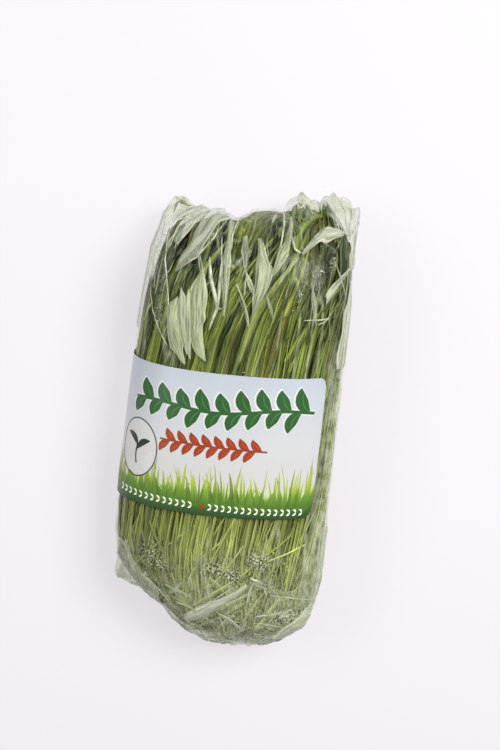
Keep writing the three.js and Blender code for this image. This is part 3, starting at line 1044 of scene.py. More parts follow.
def film_bag():
    """One closed wall: up the outside from the sealed bottom to the mouth, and back down the inside."""
    piece, around, run = grid("clear_film_bag", FILM_COLUMNS, 2 * FILM_ROWS + 1)
    row = np.rint(run * (2 * FILM_ROWS + 1)).astype(int)
    inside = row > FILM_ROWS
    level = np.where(inside, 2 * FILM_ROWS + 1 - row, row)
    q = even_rows(FILM_ROWS + 1)[level]
    u = around + COLUMN_SHIFT * np.sin(2 * math.pi * around)
    off, haze, wet = stand_off(u, q)
    base = skin(u, q)
    off = off * smooth(0.2, 5.0, base[:, 2]) - np.where(inside, FILM_WALL, 0)
    places = base + outward(u, q) * off[:, None] + settled(u, q)
    centre = skin(np.array([0.0, 0.5]), np.array([0.0, 0.0])).mean(0)
    places[(level == 0) & ~inside] = centre - np.array((0, SEAL_TUCK, 0))
    places[(level == 0) & inside] = centre - np.array((0, SEAL_TUCK - FILM_WALL, 0))
    top = smooth(11.7, 12.5, q) - smooth(12.5, 13.2, q)
    for at_u, half, rise in EAR_RISES:
        places[:, 1] += rise * bump_at(u, at_u, half) * top
    places[:, 2] = np.maximum(places[:, 2], FLOOR_GAP + np.where(inside, FILM_WALL * 0.9, 0))
    shape(piece, to_frame(places))
    give(piece, "haze", haze)
    give(piece, "wet", wet)
    faced_out(piece, 2e-6)
    dress(piece, film_material(), "film", "film_bag")


def through(stops, t):
    """A line of straight runs through stops, from t = 0 to 1, and a little past its ends."""
    stops = np.array(stops, float)
    shares = np.linspace(0, 1, len(stops))
    first, last = stops[1] - stops[0], stops[-1] - stops[-2]
    stops = np.vstack([stops[0] - first, stops, stops[-1] + last])
    shares = np.concatenate([[-shares[1]], shares, [1 + shares[1]]])
    return np.interp(t, shares, stops[:, 0]), np.interp(t, shares, stops[:, 1])


# How near the floor the added film may come, in mm: what would be lower is left out.
LOWEST_FOLD = 1.0
STRAY_CREASES = 110
CREASE_SEED = 55


def stray_crease(draw):
    """One of the many faint creases: its stops, width, height and strength."""
    low = draw.random() < 0.35
    u = draw.uniform(0.2, 0.86) if draw.random() < 0.75 else draw.uniform(-0.14, 0.2)
    q = draw.uniform(1.2, 4.4) if low else draw.uniform(8.5, 11.8)
    tall = draw.uniform(0.4, 1.5)
    slant = draw.normal(0, 0.05 if low else 0.016) - 0.01
    bow = draw.normal(0, 0.005)
    stops = ((u, q), (u + slant / 2 + bow, q + tall / 2), (u + slant, q + tall))
    return stops, draw.uniform(0.4, 0.8), 0.2, draw.uniform(0.2, 0.6)


def film_creases(template):
    """Sharp folded lines of film, standing just proud of the wall, whitened with painted highlights."""
    draw = np.random.default_rng(CREASE_SEED)
    lines = [(stops, width, 0.4, 0.85) for width, stops in CREASES]
    lines += [stray_crease(draw) for _ in range(STRAY_CREASES)]
    flat = corners(template)
    t = flat[:, 1] + 0.5
    copies = []
    for stops, width, height, strong in lines:
        way = unit(skin(*through(stops, t + 0.02)) - skin(*through(stops, t - 0.02)))
        u, q = through(stops, t)
        out = outward(u, q)
        aside = unit(np.cross(out, way))
        taper = np.sin(math.pi * np.clip(t * 0.92 + 0.04, 0, 1)) ** 0.6
        centre = shell(u, q, stand_off(u, q)[0])
        if centre[:, 2].min() < LOWEST_FOLD:
            continue
        across = flat[:, 0] * width * taper
        rise = flat[:, 2] * height * taper
        places = centre + aside * across[:, None] + out * rise[:, None]
        copies.append(copied(template, to_frame(places), (("strong", strong),)))
    dress(joined("film_creases", copies), fold_and_highlight_material(), "film")


PLEAT_THICK = 0.15
# How far a pleat lies off the wall, and how much more in its middle, in mm.
PLEAT_LIFT = 0.12
PLEAT_SWELL = 0.25
PLEAT_SEED = 77
# The small folds at the low end and at the top end: how many; the least and most of u, q, length and width in
# mm and paleness; the middle and spread of their turn; and the number the first one has.
# Their paleness stands in for small painted highlights on crumpled film.
CRUMPLES = (
    (60, (0.24, 0.8), (1.6, 4.9), (5, 20), (0.8, 3.5), (0.15, 0.5), (0.75, 0.7), 40),
    (34, (-0.1, 0.9), (8.7, 12.0), (8, 26), (0.8, 2.4), (0.15, 0.4), (1.5, 0.3), 110),
)


def flowing(stops, t):
    """A smooth line through stops, from t = 0 to 1."""
    stops = np.array(stops, float)
    spot = np.clip(t, 0, 1) * (len(stops) - 1)
    return eased(stops[:, 0], spot), eased(stops[:, 1], spot)


def pleat(template, pale, white, left, right, number):
    """One pleat between its two edges, lying on the wall; nothing where it would be under the bag."""
    flat = corners(template)
    x, t = flat[:, 0] + 0.5, flat[:, 1] + 0.5
    left_u, left_q = flowing(left, t)
    right_u, right_q = flowing(right, t)
    wave = noise(t * 5.0, x * 0 + number * 3.7, t * 0, 21)
    share = x + 0.16 * wave * (2 * x - 1)
    u = left_u + (right_u - left_u) * share
    q = left_q + (right_q - left_q) * share
    lift = PLEAT_LIFT + PLEAT_SWELL * np.sin(math.pi * x) + PLEAT_THICK * (flat[:, 2] + 0.5)
    places = shell(u, q, stand_off(u, q)[0] + lift)
    if places[:, 2].min() < LOWEST_FOLD:
        return None
    girth = float(round_length(np.mean(q)))
    wide = np.hypot((right_u - left_u) * girth, run_to(right_q) - run_to(left_q)).mean()
    long = math.hypot(float(np.ptp(left_u)) * girth, float(np.ptp(run_to(left_q))))
    numbers = (("pale", pale), ("white", white), ("fibre", x * wide + number * 37.0), ("reach", t * long),
               ("inset", 0.5 - np.abs(x - 0.5)))
    return copied(template, to_frame(places), numbers)


def crumple(u, q, turn, long, wide):
    """The two edges of a small fold: long and wide in mm, turned from the way round the bag."""
    run = float(run_to(q))
    size = float(round_length(q))
    edges = ([], [])
    for share, swell in ((-0.5, 0.1), (0.0, 1.0), (0.5, 0.1)):
        for edge, side in zip(edges, (-0.5, 0.5)):
            across = share * long * math.cos(turn) - side * swell * wide * math.sin(turn)
            up = share * long * math.sin(turn) + side * swell * wide * math.cos(turn)
            edge.append((u + across / size, float(np.interp(run + up, RUN_LENGTHS, RUN_SECTIONS))))
    return edges


def film_pleats():
    """Pleats and small crumples of film: pale where the film is doubled and where painted reflections and
    highlights stand on it, with fine folds along them.
    """
    template = strip_template("pleat_strip", 10, 24)
    small = strip_template("crumple_strip", 4, 8)
    draw = np.random.default_rng(PLEAT_SEED)
    copies = []
    for i, (_, pale, white, left, right) in enumerate(PLEATS.values()):
        copies.append(pleat(template, pale, white, left, right, i))
    for count, around, up, long, wide, pale, turn, first in CRUMPLES:
        for i in range(count):
            u, q, turned = draw.uniform(*around), draw.uniform(*up), draw.normal(*turn)
            left, right = crumple(u, q, turned, draw.uniform(*long), draw.uniform(*wide))
            copies.append(pleat(small, draw.uniform(*pale), draw.uniform(0.2, 1.0), left, right, first + i))
    piece = joined("film_pleats", [copy for copy in copies if copy])
    crisp(piece)
    removed(template)
    removed(small)
    dress(piece, pleat_haze_and_reflection_material(), "film")


# ---- the label ----
LABEL_GAP = 0.45
LABEL_THICK = 0.12
LABEL_BOTTOM = -44.0
LABEL_TOP = 34.5
LABEL_RIGHT = 0.331
LABEL_LEFT = 0.86
LABEL_SKEW = 0.01
LABEL_TILT = 0.13
LABEL_CORNER = 5.0
PRINT_THICK = 0.04
LABEL_WIDE = (LABEL_LEFT - LABEL_RIGHT) * float(round_length(7.0))
LABEL_TALL = LABEL_TOP - LABEL_BOTTOM


def section_at(y):
    q = np.linspace(0, 10, 401)
    return np.interp(y, along("y", q), q)


def on_label(x, h, out):
    """A point on the label: x mm from its right end, h from its bottom edge, out from the paper's back."""
    u = LABEL_RIGHT + (LABEL_LEFT - LABEL_RIGHT) * x / LABEL_WIDE
    height = LABEL_BOTTOM + h
    q = section_at(height)
    y = height + LABEL_SKEW * looked_up(TABLE_ACROSS, u, q) - LABEL_TILT * looked_up(TABLE_HIGH, u, q)
    q = section_at(y)
    return shell(u, q, LABEL_GAP + 0.12 * round_noise(u, q, 16, 0.7, 8) + out)


def label():
    """The paper, its long edges rounded at both ends of the wrap."""
    piece = strip_template("paper_label", 150, 30)
    flat = corners(piece)
    x = (flat[:, 0] + 0.5) * LABEL_WIDE
    inset = np.maximum(LABEL_CORNER - np.minimum(x, LABEL_WIDE - x), 0)
    cut = LABEL_CORNER - np.sqrt(np.maximum(LABEL_CORNER**2 - inset**2, 0))
    h = cut + (LABEL_TALL - 2 * cut) * (flat[:, 1] + 0.5)
    shape(piece, to_frame(on_label(x, h, LABEL_THICK * (flat[:, 2] + 0.5))))
    crisp(piece)
    dress(piece, label_material(), "label", "label")


class Print:
    """Flat shapes of ink on the label, gathered into one piece."""

    def __init__(self, name, rows, columns=2):
        self.name = name
        self.template = strip_template(name + "_strip", columns, rows)
        flat = corners(self.template)
        self.across, self.run, self.side = flat[:, 0] * 2, flat[:, 1] + 0.5, flat[:, 2]
        self.copies = []

    def strip(self, line, half_width, tone, lift, fade=0.0):
        """A strip along line(t), in mm on the label, half_width to each side: a number or a function of t.

        Its tone sets in over the share fade of its length.
        """
        x, h = line(self.run)
        way = unit(np.stack(line(self.run + 0.01), -1) - np.stack(line(self.run - 0.01), -1))
        wide = at(half_width, self.run)
        x = x + way[:, 1] * self.across * wide
        h = h - way[:, 0] * self.across * wide
        out = LABEL_THICK + PRINT_THICK * (0.55 + self.side) + lift
        told = 0.5 + (tone - 0.5) * smooth(0, fade, self.run) if fade else tone
        numbers = (("tone", told), ("height", np.clip(h / LABEL_TALL, 0, 1)))
        self.copies.append(copied(self.template, to_frame(on_label(x, h, out)), numbers))

    def stem(self, line, half, lift=0.0, parts=12):
        """A long even line, laid in short parts so that it follows the label."""
        for part in range(parts):
            self.strip(lambda t: line((part + t * 1.02) / parts), half, 0.5, lift)

    def leaf(self, root, tip, half, bow, tone=0.5, lift=0.0):
        """A leaf or grain from root to tip, widest in its middle, its line bowed to one side."""
        root, tip = np.array(root, float), np.array(tip, float)
        aside = np.array([-(tip - root)[1], (tip - root)[0]]) * bow

        def line(t):
            bowed = np.outer(np.sin(math.pi * np.clip(t, 0, 1)), aside)
            point = root + np.outer(t, tip - root) + bowed
            return point[:, 0], point[:, 1]

        def swell(t):
            return half * np.sin(math.pi * np.clip(t, 0.02, 0.985)) ** 0.75 + 0.05

        self.strip(line, swell, tone, lift)

    def done(self, material):
        piece = joined(self.name, self.copies)
        crisp(piece)
        removed(self.template)
        dress(piece, material, "label")


GRASS_STOPS = (
    (0.0, 0x2A4420), (0.045, 0x375822), (0.09, 0x4C7026), (0.16, 0x64862A), (0.22, 0x90A432),
    (0.3, 0xA0AE42), (0.4, 0x8A9C48),
)
PRINT_LEFT = LABEL_WIDE - 1.0
GRASS_PRINTS = 175
GRASS_SEED = 31
RED_INK = 0x93391A


def printed_grass():
    """A fringe of grass along the label's foot."""
    draw = np.random.default_rng(GRASS_SEED)
    inks = Print("label_grass_print", 6)
    for i in range(GRASS_PRINTS):
        x = PRINT_LEFT * (i + draw.uniform(0.1, 0.9)) / GRASS_PRINTS
        x = min(max(x, 2.0), PRINT_LEFT - 2.0)
        tall = draw.uniform(8, 25) * (0.9 + 0.12 * math.sin(x / 7.0) + 0.12 * math.sin(x / 2.3))
        root = draw.uniform(5.0, 8.0)
        sway = draw.normal(0.2, 2.4)
        wide = draw.uniform(0.35, 1.05)
        inks.strip(
            lambda t: (x + sway * t**2, root + tall * t),
            lambda t: wide * (1 - np.clip(t, 0, 1) ** 2.2) + 0.04,
            draw.uniform(0.0, 1.0),
            0.02 * (i % 3),
            0.3,
        )
    inks.done(ink_material("grass_ink", *GRASS_STOPS))


SPRIG_FROM = 6.0
SPRIG_TO = 106.0
SPRIG_LEAVES = 9


def sprig_stem(x):
    """How high the sprig's stem runs."""
    share = (x - SPRIG_FROM) / (SPRIG_TO - SPRIG_FROM)
    return 59.5 - 1.5 * share + 1.4 * np.sin(share * 9.0)


def printed_sprig():
    """A bold sprig of plain leaves across the label, in a pale outline."""
    shadow = Print("label_sprig_outline", 8)
    inks = Print("label_sprig_print", 8)

    def stem(t):
        x = SPRIG_FROM + (SPRIG_TO - SPRIG_FROM) * t
        return x, sprig_stem(x)

    shadow.stem(stem, 1.6)
    inks.stem(stem, 0.85, 0.05)
    for i in range(SPRIG_LEAVES):
        x = SPRIG_FROM + 3 + (SPRIG_TO - SPRIG_FROM - 15) * i / (SPRIG_LEAVES - 1)
        size = 13.5 - 2.5 * i / SPRIG_LEAVES - 2.0 * abs(math.sin(i * 1.9))
        for start, side, half in ((x, 1, 3.5), (x + 5, -0.85, 3.2)):
            root_h = float(sprig_stem(start))
            tip = (start + 6.5, root_h + size * side)
            bow = -0.14 if side > 0 else 0.14
            outline_tip = (tip[0] + 0.4, tip[1] + 0.9 * side)
            shadow.leaf((start - 0.4, root_h - 0.8 * side), outline_tip, half + 0.8, bow)
            inks.leaf((start, root_h), tip, half, bow, 0.4, 0.06)
            inks.leaf((start, root_h), (start + 5.2, root_h + size * side * 0.8), 0.28, bow, 1.7, 0.11)
    shadow.done(one_ink("outline_ink", 0xD4D4D0))
    inks.done(one_ink("leaf_ink", 0x2B5A2A))


EAR_FROM = 30.0
EAR_TO = 88.0
EAR_HEIGHT = 38.0
EAR_CLIMB = 1.2
EAR_GRAINS = 8


def printed_grains():
    """An ear of plain grains under the sprig, each with a fine line on it."""
    inks = Print("label_grain_print", 6)
    inks.stem(lambda t: (EAR_FROM + (EAR_TO - EAR_FROM) * t, EAR_HEIGHT + EAR_CLIMB * t), 0.5)
    for i in range(EAR_GRAINS):
        x = EAR_FROM + 3 + (EAR_TO - EAR_FROM - 12) * i / (EAR_GRAINS - 1)
        h = EAR_HEIGHT + EAR_CLIMB * (x - EAR_FROM) / (EAR_TO - EAR_FROM)
        for start, side in ((x, 1), (x + 3.4, -1)):
            bow = -0.12 * side
            inks.leaf((start, h), (start + 5.6, h + 6.4 * side), 2.0, bow, 0.5, 0.04)
            inks.leaf((start + 1.2, h + 1.5 * side), (start + 4.4, h + 5.2 * side), 0.2, bow, 1.6, 0.07)
    inks.done(one_ink("grain_ink", RED_INK))


BADGE_CENTRE = (102.0, 31.0)
BADGE_HALF = (12.6, 16.0)
BADGE_LIFT = 0.12
RING_PARTS = 8


def printed_badge():
    """A pale oval with a thin ring and a plain seedling in it, near the left side."""
    x, h = BADGE_CENTRE
    half_x, half_h = BADGE_HALF
    ground = Print("label_badge_ground", 16, 12)
    ground.strip(
        lambda t: (x + 0 * t, h + half_h * (2 * t - 1)),
        lambda t: half_x * np.sqrt(np.clip(1 - (2 * t - 1) ** 2, 0, 1)) + 0.05,
        0.5,
        0.07,
    )
    ground.done(one_ink("pale_ground_ink", 0xCBCBC8))
    inks = Print("label_badge_print", 12)

    def ring(t):
        return x + half_x * np.cos(t * 2 * math.pi), h + half_h * np.sin(t * 2 * math.pi)

    inks.stem(ring, 0.3, BADGE_LIFT, RING_PARTS)
    inks.strip(lambda t: (x + 0.8 * np.sin(t * 3), h - 9 + 11 * t), 0.45, 0.5, BADGE_LIFT)
    inks.leaf((x, h + 1), (x + 8.0, h + 7), 1.7, 0.15, 0.5, BADGE_LIFT)
    inks.leaf((x, h - 1), (x - 8.0, h + 5), 1.7, -0.15, 0.5, BADGE_LIFT)
    inks.done(one_ink("dark_ink", 0x23301F))


FOOT_FROM = 6.0
FOOT_STEP = 3.6
FOOT_MARKS = 30
FOOT_DOT_X = 61.4
FOOT_GAP = 2.6
MARK_SIZE = (1.9, 1.7)


def foot_height(x):
    """The middle of the row of marks along the label's foot."""
    return 3.7 + 0.02 * x


def printed_foot():
    """A row of small pale chevrons along the dark foot, with one red dot between them."""
    inks = Print("label_foot_print", 4)
    long, tall = MARK_SIZE
    for i in range(FOOT_MARKS):
        x = FOOT_FROM + i * FOOT_STEP
        if abs(x - FOOT_DOT_X) < FOOT_GAP:
            continue
        h = foot_height(x)
        for side in (1, -1):
            inks.leaf((x, h), (x + long, h + tall * side), 0.5, 0.15 * side, 0.6, 0.06)
    inks.done(one_ink("pale_ink", 0xE2E8D6))
    dot = Print("label_dot_print", 8)
    h = foot_height(FOOT_DOT_X)
    dot.leaf((FOOT_DOT_X, h - 1.3), (FOOT_DOT_X, h + 1.3), 1.25, 0.0, 0.5, 0.06)
    dot.done(one_ink("red_ink", RED_INK))


# ---- the wheatgrass ----
TUFTS = 20
BLADE_ROWS = 15
CLUSTERS = 8
SHOOTS = 80
SECOND_LEAVES = 40
BENT_LEAVES = 10
CROSSING_STEMS = 26
BLADE_THICK = 0.35
HEART_THICK = 5.0
TUFT_SEED = 100
# How far under the film the nearest blades stay, in mm.
UNDER_FILM = 0.6


def blade_form():
    """One blade: four sides round a flat diamond, closed to a point at both ends."""
    piece, around, run = grid("blade_form", 4, BLADE_ROWS)
    angle = around * 2 * math.pi
    open_share = np.where((run < 0.001) | (run > 0.999), 0, 1)
    across = -0.5 * np.cos(angle) * open_share
    side = 0.5 * np.sin(angle) * open_share
    shape(piece, np.stack([across, run - 0.5, side], -1))
    faced_out(piece, 1e-5)
    return piece


def painted_grass_shade(u, q, packed):
    """How light a blade is painted: painted shade deep in the bundle, darker at the lower left, and painted
    light near the top edge.
    """
    low_left = bump_at(u, 0.645, 0.11) * (1 - smooth(5.5, 7.5, q)) * smooth(3.4, 4.6, q)
    deep = (0.42 + 0.53 * smooth(4.5, 7.5, q)) * smooth(1.2, 4.4, packed)
    return 1.05 + 0.25 * smooth(11.0, 12.4, q) - 0.34 * low_left - deep


class Blades:
    """Blades of one template, gathered into one piece."""

    def __init__(self, name, template):
        self.name = name
        self.template = template
        flat = corners(template)
        self.across, self.t, self.side = flat[:, 0], flat[:, 1] + 0.5, flat[:, 2]
        self.copies = []

    def blade(self, u, depth, q, width, roll, gutter, tone, thick=BLADE_THICK, follow=0.0):
        """One blade. u, depth, q, width and roll are numbers, or functions of the share t along it.

        follow is how far it goes with the corners of film that stand out.
        """
        turn = at(roll, self.t)
        wide = at(width, self.t)
        stands = np.abs(np.sin(turn)) * wide / 2 + gutter * wide + UNDER_FILM

        def spot(t):
            own_u, own_q = at(u, t), at(q, t)
            return place(own_u, np.maximum(at(depth, t), stands), own_q) + pushed(own_u, own_q) * follow

        step, beside = 0.01, 0.004
        own_u, own_depth, own_q = (at(value, self.t) for value in (u, depth, q))
        way = unit(spot(self.t + step) - spot(self.t - step))
        aside = place(own_u + beside, own_depth, own_q) - place(own_u - beside, own_depth, own_q)
        aside = unit(aside - way * np.sum(aside * way, -1, keepdims=True))
        out = np.cross(way, aside)
        face = aside * np.cos(turn)[:, None] + out * np.sin(turn)[:, None]
        normal = out * np.cos(turn)[:, None] - aside * np.sin(turn)[:, None]
        lift = self.side * thick * np.minimum(1, 0.4 + wide / 3)
        lift = lift + gutter * wide * np.abs(2 * self.across) ** 1.5
        places = spot(self.t) + face * (self.across * wide)[:, None] + normal * lift[:, None]
        height = np.clip((own_q - 1.4) / 9.6, 0, 1)
        # The painted shade and light that each blade carries.
        shade = painted_grass_shade(own_u, own_q, own_depth - hollow(own_u, own_q))
        warm = (tone * 7.31 + len(self.copies) * 0.618) % 1
        numbers = (("tone", tone), ("height", height), ("shade", shade), ("warm", warm))
        self.copies.append(copied(self.template, to_frame(places), numbers))

    def straight(self, start, end, bow, depth, width, roll, gutter, tone, follow=0.0):
        """A blade straight from u, q to u, q but for a bow in its middle."""
        straight_u = between(start[0], end[0])

        def u(t):
            return straight_u(t) + bow * np.sin(math.pi * t)

        self.blade(u, depth, between(start[1], end[1]), width, roll, gutter, tone, follow=follow)

    def done(self, material, slot, *nodes):
        dress(joined(self.name, self.copies), material, slot, *nodes)


# Where the film stands clear of the grass at the sides of the top end: mm, u, how far round, and the sections
# that each hollow sets in over.
HOLLOWS = ((12.0, 0.735, 0.09, (9.8, 10.9)), (4.0, 0.27, 0.06, (8.8, 9.8)), (6.5, 0.6, 0.12, (11.0, 12.0)))


def hollow(u, q):
    """How much deeper the grass lies there."""
    return sum(deep * bump_at(u, at_u, half) * smooth(*sections, q) for deep, at_u, half, sections in HOLLOWS)


def sway(u, q):
    """How far the leaves' upper parts lean over to the right."""
    left = 0.085 * bump_at(u, 0.63, 0.1) * smooth(8.4, 12.4, q)
    return -left - 0.05 * bump_at(u, 0.41, 0.12) * smooth(7.6, 12.4, q) ** 1.2


def fineness(u):
    """The leaves on the right of the bag are narrower."""
    return 0.5 + 0.5 * smooth(0.46, 0.58, u) * (1 - smooth(0.9, 1.0, u))


def limited(q):
    return np.clip(q, 0.6, 13.0)


def one_tone(draw, middle):
    return float(np.clip(draw.normal(middle, 0.38), 0, 1))


def lean_blade(bunch, u, depth, q, width, roll, gutter, tone):
    """A blade that follows the lean of the whole bundle and stays out of its hollows."""

    def leaning(t):
        return u(t) + lean(q(t)) + sway(u(t), q(t))

    bunch.blade(leaning, lambda t: depth(t) + hollow(u(t), q(t)), q, width, roll, gutter, tone)


def shoot(bunch, centre, drift, draw, under):
    """A shoot from its cut end: a narrow stem that widens into a leaf."""
    start = 1.4 + 3.6 * draw.random() ** 1.3
    highest = 12.2 - 1.3 * bump_at(centre, 0.48, 0.11)
    reach = draw.uniform(8.4, 9.9) if under else draw.uniform(8.6, highest)
    spot = centre + draw.uniform(-0.6, 0.6) / TUFTS
    own_drift = drift + draw.normal(0, 0.024)
    bow = draw.normal(0, 0.012)
    phase = draw.uniform(0, 6.3)
    layer = 1.1 + 8.0 * draw.random() ** 1.3
    stem = draw.uniform(0.6, 1.5)
    leaf = draw.uniform(1.4, 4.0) * fineness(centre)
    widen = draw.uniform(0.4, 0.62)
    roll_low = draw.normal(0, 0.5)
    roll_high = draw.normal(0, 0.5 if layer < 4 else 0.9)

    def u(t):
        return spot + own_drift * (t - 0.4) + bow * np.sin(math.pi * t) + 0.002 * np.sin(9 * t + phase)

    def depth(t):
        return layer + 0.6 * np.sin(5 * t + phase) + 3.0 * (1 - smooth(0.0, 0.12, t)) * (layer < 5)

    def q(t):
        return limited(start + (reach - start) * t)

    def width(t):
        full = stem + (leaf - stem) * smooth(widen - 0.15, widen + 0.15, t)
        return full * tapered(t, 5) * (1 - 0.35 * smooth(0.7, 1.0, t)) + 0.1

    def roll(t):
        return roll_low + (roll_high - roll_low) * smooth(0.1, 0.9, t)

    lean_blade(bunch, u, depth, q, width, roll, draw.uniform(0.05, 0.25), one_tone(draw, 0.5))


def second_leaf(bunch, centre, drift, draw, under):
    """A leaf that leaves its stem half way up."""
    start = draw.uniform(4.6, 8.2)
    highest = 12.3 - 1.3 * bump_at(centre, 0.48, 0.11)
    reach = draw.uniform(8.8, 9.9) if under else draw.uniform(9.6, highest)
    spot = centre + draw.uniform(-0.6, 0.6) / TUFTS
    own_drift = 0.6 * drift + draw.normal(-0.004, 0.036)
    bow = draw.normal(0, 0.014)
    phase = draw.uniform(0, 6.3)
    layer = 1.1 + 5.0 * draw.random() ** 1.3
    leaf = draw.uniform(1.8, 5.0) * fineness(centre)
    roll_high = draw.normal(0, 0.6)

    def u(t):
        return spot + own_drift * t + bow * np.sin(math.pi * t)

    def depth(t):
        return layer + 4.0 * (1 - smooth(0, 0.3, t)) + 0.6 * np.sin(4 * t + phase)

    def q(t):
        return limited(start + (reach - start) * t)

    def width(t):
        return leaf * smooth(-0.25, 0.3, t) * tapered(t, 4) + 0.1

    def roll(t):
        return roll_high * smooth(0.2, 0.9, t)

    lean_blade(bunch, u, depth, q, width, roll, draw.uniform(0.04, 0.2), one_tone(draw, 0.4))


def bent_leaf(bunch, centre, draw):
    """A leaf whose top the end of the bag has bent over to the right."""
    start = draw.uniform(8.6, 10.0)
    peak = draw.uniform(11.4, 12.9)
    spot = centre + draw.uniform(-0.5, 0.5) / TUFTS
    reach = draw.uniform(0.05, 0.2)
    layer = draw.uniform(1.0, 5.0)
    leaf = draw.uniform(2.2, 5.0)
    roll_high = draw.normal(0, 0.4)
    turn_at = draw.uniform(0.2, 0.45)

    def u(t):
        return spot + lean(start) - reach * smooth(turn_at, 1.25, t) * 1.3

    def q(t):
        return limited(start + (peak - start) * np.sin(1.95 * np.clip(t, -0.05, 1.05)))

    def width(t):
        return leaf * smooth(-0.2, 0.3, t) * tapered(t, 5) + 0.1

    gutter = draw.uniform(0.04, 0.15)
    bunch.blade(u, layer, q, width, lambda t: roll_high * t, gutter, one_tone(draw, 0.3))


# Where the leaves swept over under the top edge start, pull to and end: u, q, outermost and innermost.
ARC_OUTER = ((0.54, 10.9), (0.538, 13.0), (0.44, 14.0), (0.398, 11.5))
ARC_INNER = ((0.515, 10.3), (0.497, 11.5), (0.452, 11.9), (0.426, 10.9))
TOP_ARCS = 60
TOP_ARC_TUFT = 9


def top_arcs(bunch, draw):
    """Leaves swept over to the right, one beside the other, under the top edge of the film."""
    for _ in range(TOP_ARCS):
        share = draw.random()
        shift = draw.normal(0, 0.005)
        pulls = []
        for outer, inner in zip(ARC_OUTER, ARC_INNER):
            pull_q = (1 - share) * outer[1] + share * inner[1] + draw.normal(0, 0.08)
            pulls.append(((1 - share) * outer[0] + share * inner[0] + shift, pull_q))
        layer = 0.5 + 2.6 * draw.random() ** 1.5
        wide = draw.uniform(1.6, 4.2)
        last = draw.uniform(0.75, 1.05)

        def curve(t, part):
            t = np.clip(t * last, -0.02, 1.02)
            near = (1 - t) ** 3 * pulls[0][part] + 3 * (1 - t) ** 2 * t * pulls[1][part]
            return near + 3 * (1 - t) * t**2 * pulls[2][part] + t**3 * pulls[3][part]

        bunch.blade(
            lambda t: curve(t, 0),
            layer,
            lambda t: limited(curve(t, 1)),
            lambda t: wide * (1 - 0.8 * np.clip(t, 0, 1) ** 4),
            draw.normal(0, 0.3),
            0.1,
            one_tone(draw, 0.75),
        )


# Leaves that stand up into the corners of film: from u, q to u, q, width, and how far they go with the film.
CORNER_LEAVES = (
    ((0.345, 11.2), (0.325, 12.45), 3.6, 0.55),
    ((0.335, 11.0), (0.312, 12.35), 3.2, 0.55),
    ((0.362, 11.2), (0.337, 12.45), 3.2, 0.55),
    ((0.325, 11.2), (0.33, 12.3), 2.6, 0.55),
    ((0.37, 11.0), (0.352, 12.2), 3.4, 0.55),
    ((0.31, 11.2), (0.3, 12.2), 3.0, 0.55),
    ((0.35, 11.3), (0.318, 12.35), 3.8, 0.55),
    ((0.335, 11.5), (0.323, 12.4), 3.4, 0.55),
    ((0.36, 11.6), (0.34, 12.3), 3.4, 0.55),
    ((0.308, 10.6), (0.31, 12.2), 4.2, 0.55),
    ((0.3, 10.6), (0.3, 12.1), 4.0, 0.55),
    ((0.322, 10.8), (0.32, 12.25), 4.0, 0.55),
    ((0.43, 11.4), (0.405, 12.5), 3.4, 0.3),
    ((0.415, 11.4), (0.4, 12.6), 2.8, 0.3),
    ((0.4, 11.3), (0.386, 12.3), 3.2, 0.3),
    ((0.425, 11.6), (0.413, 12.4), 2.6, 0.3),
)
# The one dark tip in the left corner.
LEFT_TIP = ((0.745, 12.2), (0.686, 12.46), 3.0, 1.0)


def corner_leaf(bunch, line, draw):
    """A leaf that stands up into a corner of film."""
    start, end, width, follow = line
    bow = draw.normal(0, 0.004)

    def narrowing(t):
        return width * (1 - np.clip(t, 0, 1) ** 3) + 0.1

    if line == LEFT_TIP:
        bunch.straight(start, end, bow, 0.8, narrowing, 0.0, 0.03, 0.1, follow)
    else:
        bunch.straight(start, end, bow, 1.6, narrowing, 0.2, 0.1, one_tone(draw, 0.45), follow)


# Single stems and leaves that show by themselves: from u, q to u, q, width, depth and tone.
PLACED_LEAVES = (
    ((0.683, 8.8), (0.692, 11.35), 6.0, 1.6, 0.25),
    ((0.672, 9.2), (0.668, 11.3), 6.0, 2.0, 0.15),
    ((0.7, 9.0), (0.705, 10.9), 5.0, 2.2, 0.2),
    ((0.621, 3.13), (0.42, 5.28), 1.8, 0.6, 0.7),
    ((0.61, 3.1), (0.425, 5.05), 2.6, 0.7, 0.0),
    ((0.666, 2.02), (0.432, 4.34), 1.8, 0.5, 0.9),
    ((0.65, 2.0), (0.425, 4.2), 3.4, 0.7, 0.1),
    ((0.434, 3.31), (0.32, 3.74), 3.0, 0.7, 0.1),
    ((0.398, 4.36), (0.308, 4.03), 3.0, 0.7, 0.2),
    ((0.665, 8.4), (0.692, 10.05), 7.0, 2.0, 0.2),
    ((0.695, 8.4), (0.712, 9.9), 4.0, 2.0, 0.35),
    ((0.43, 9.0), (0.395, 10.9), 2.6, 0.8, 0.8),
    ((0.5, 2.4), (0.33, 3.5), 3.0, 1.2, 0.2),
    ((0.53, 4.3), (0.45, 5.6), 1.4, 0.9, 0.95),
    ((0.57, 3.6), (0.55, 5.4), 1.4, 0.9, 0.95),
    ((0.56, 3.4), (0.52, 5.9), 1.6, 1.0, 0.9),
    ((0.37, 4.3), (0.29, 4.0), 2.6, 1.2, 0.5),
    ((0.48, 2.9), (0.4, 4.6), 1.6, 1.0, 0.8),
)


def placed_leaf(bunch, line, draw):
    """One of the leaves that show by themselves."""
    start, end, width, layer, tone = line
    bow = draw.normal(0, 0.006)

    def narrowing(t):
        return width * (1 - 0.5 * np.clip(t, 0, 1) ** 3)

    bunch.straight(start, end, bow, layer, narrowing, 0.0, 0.05, tone)


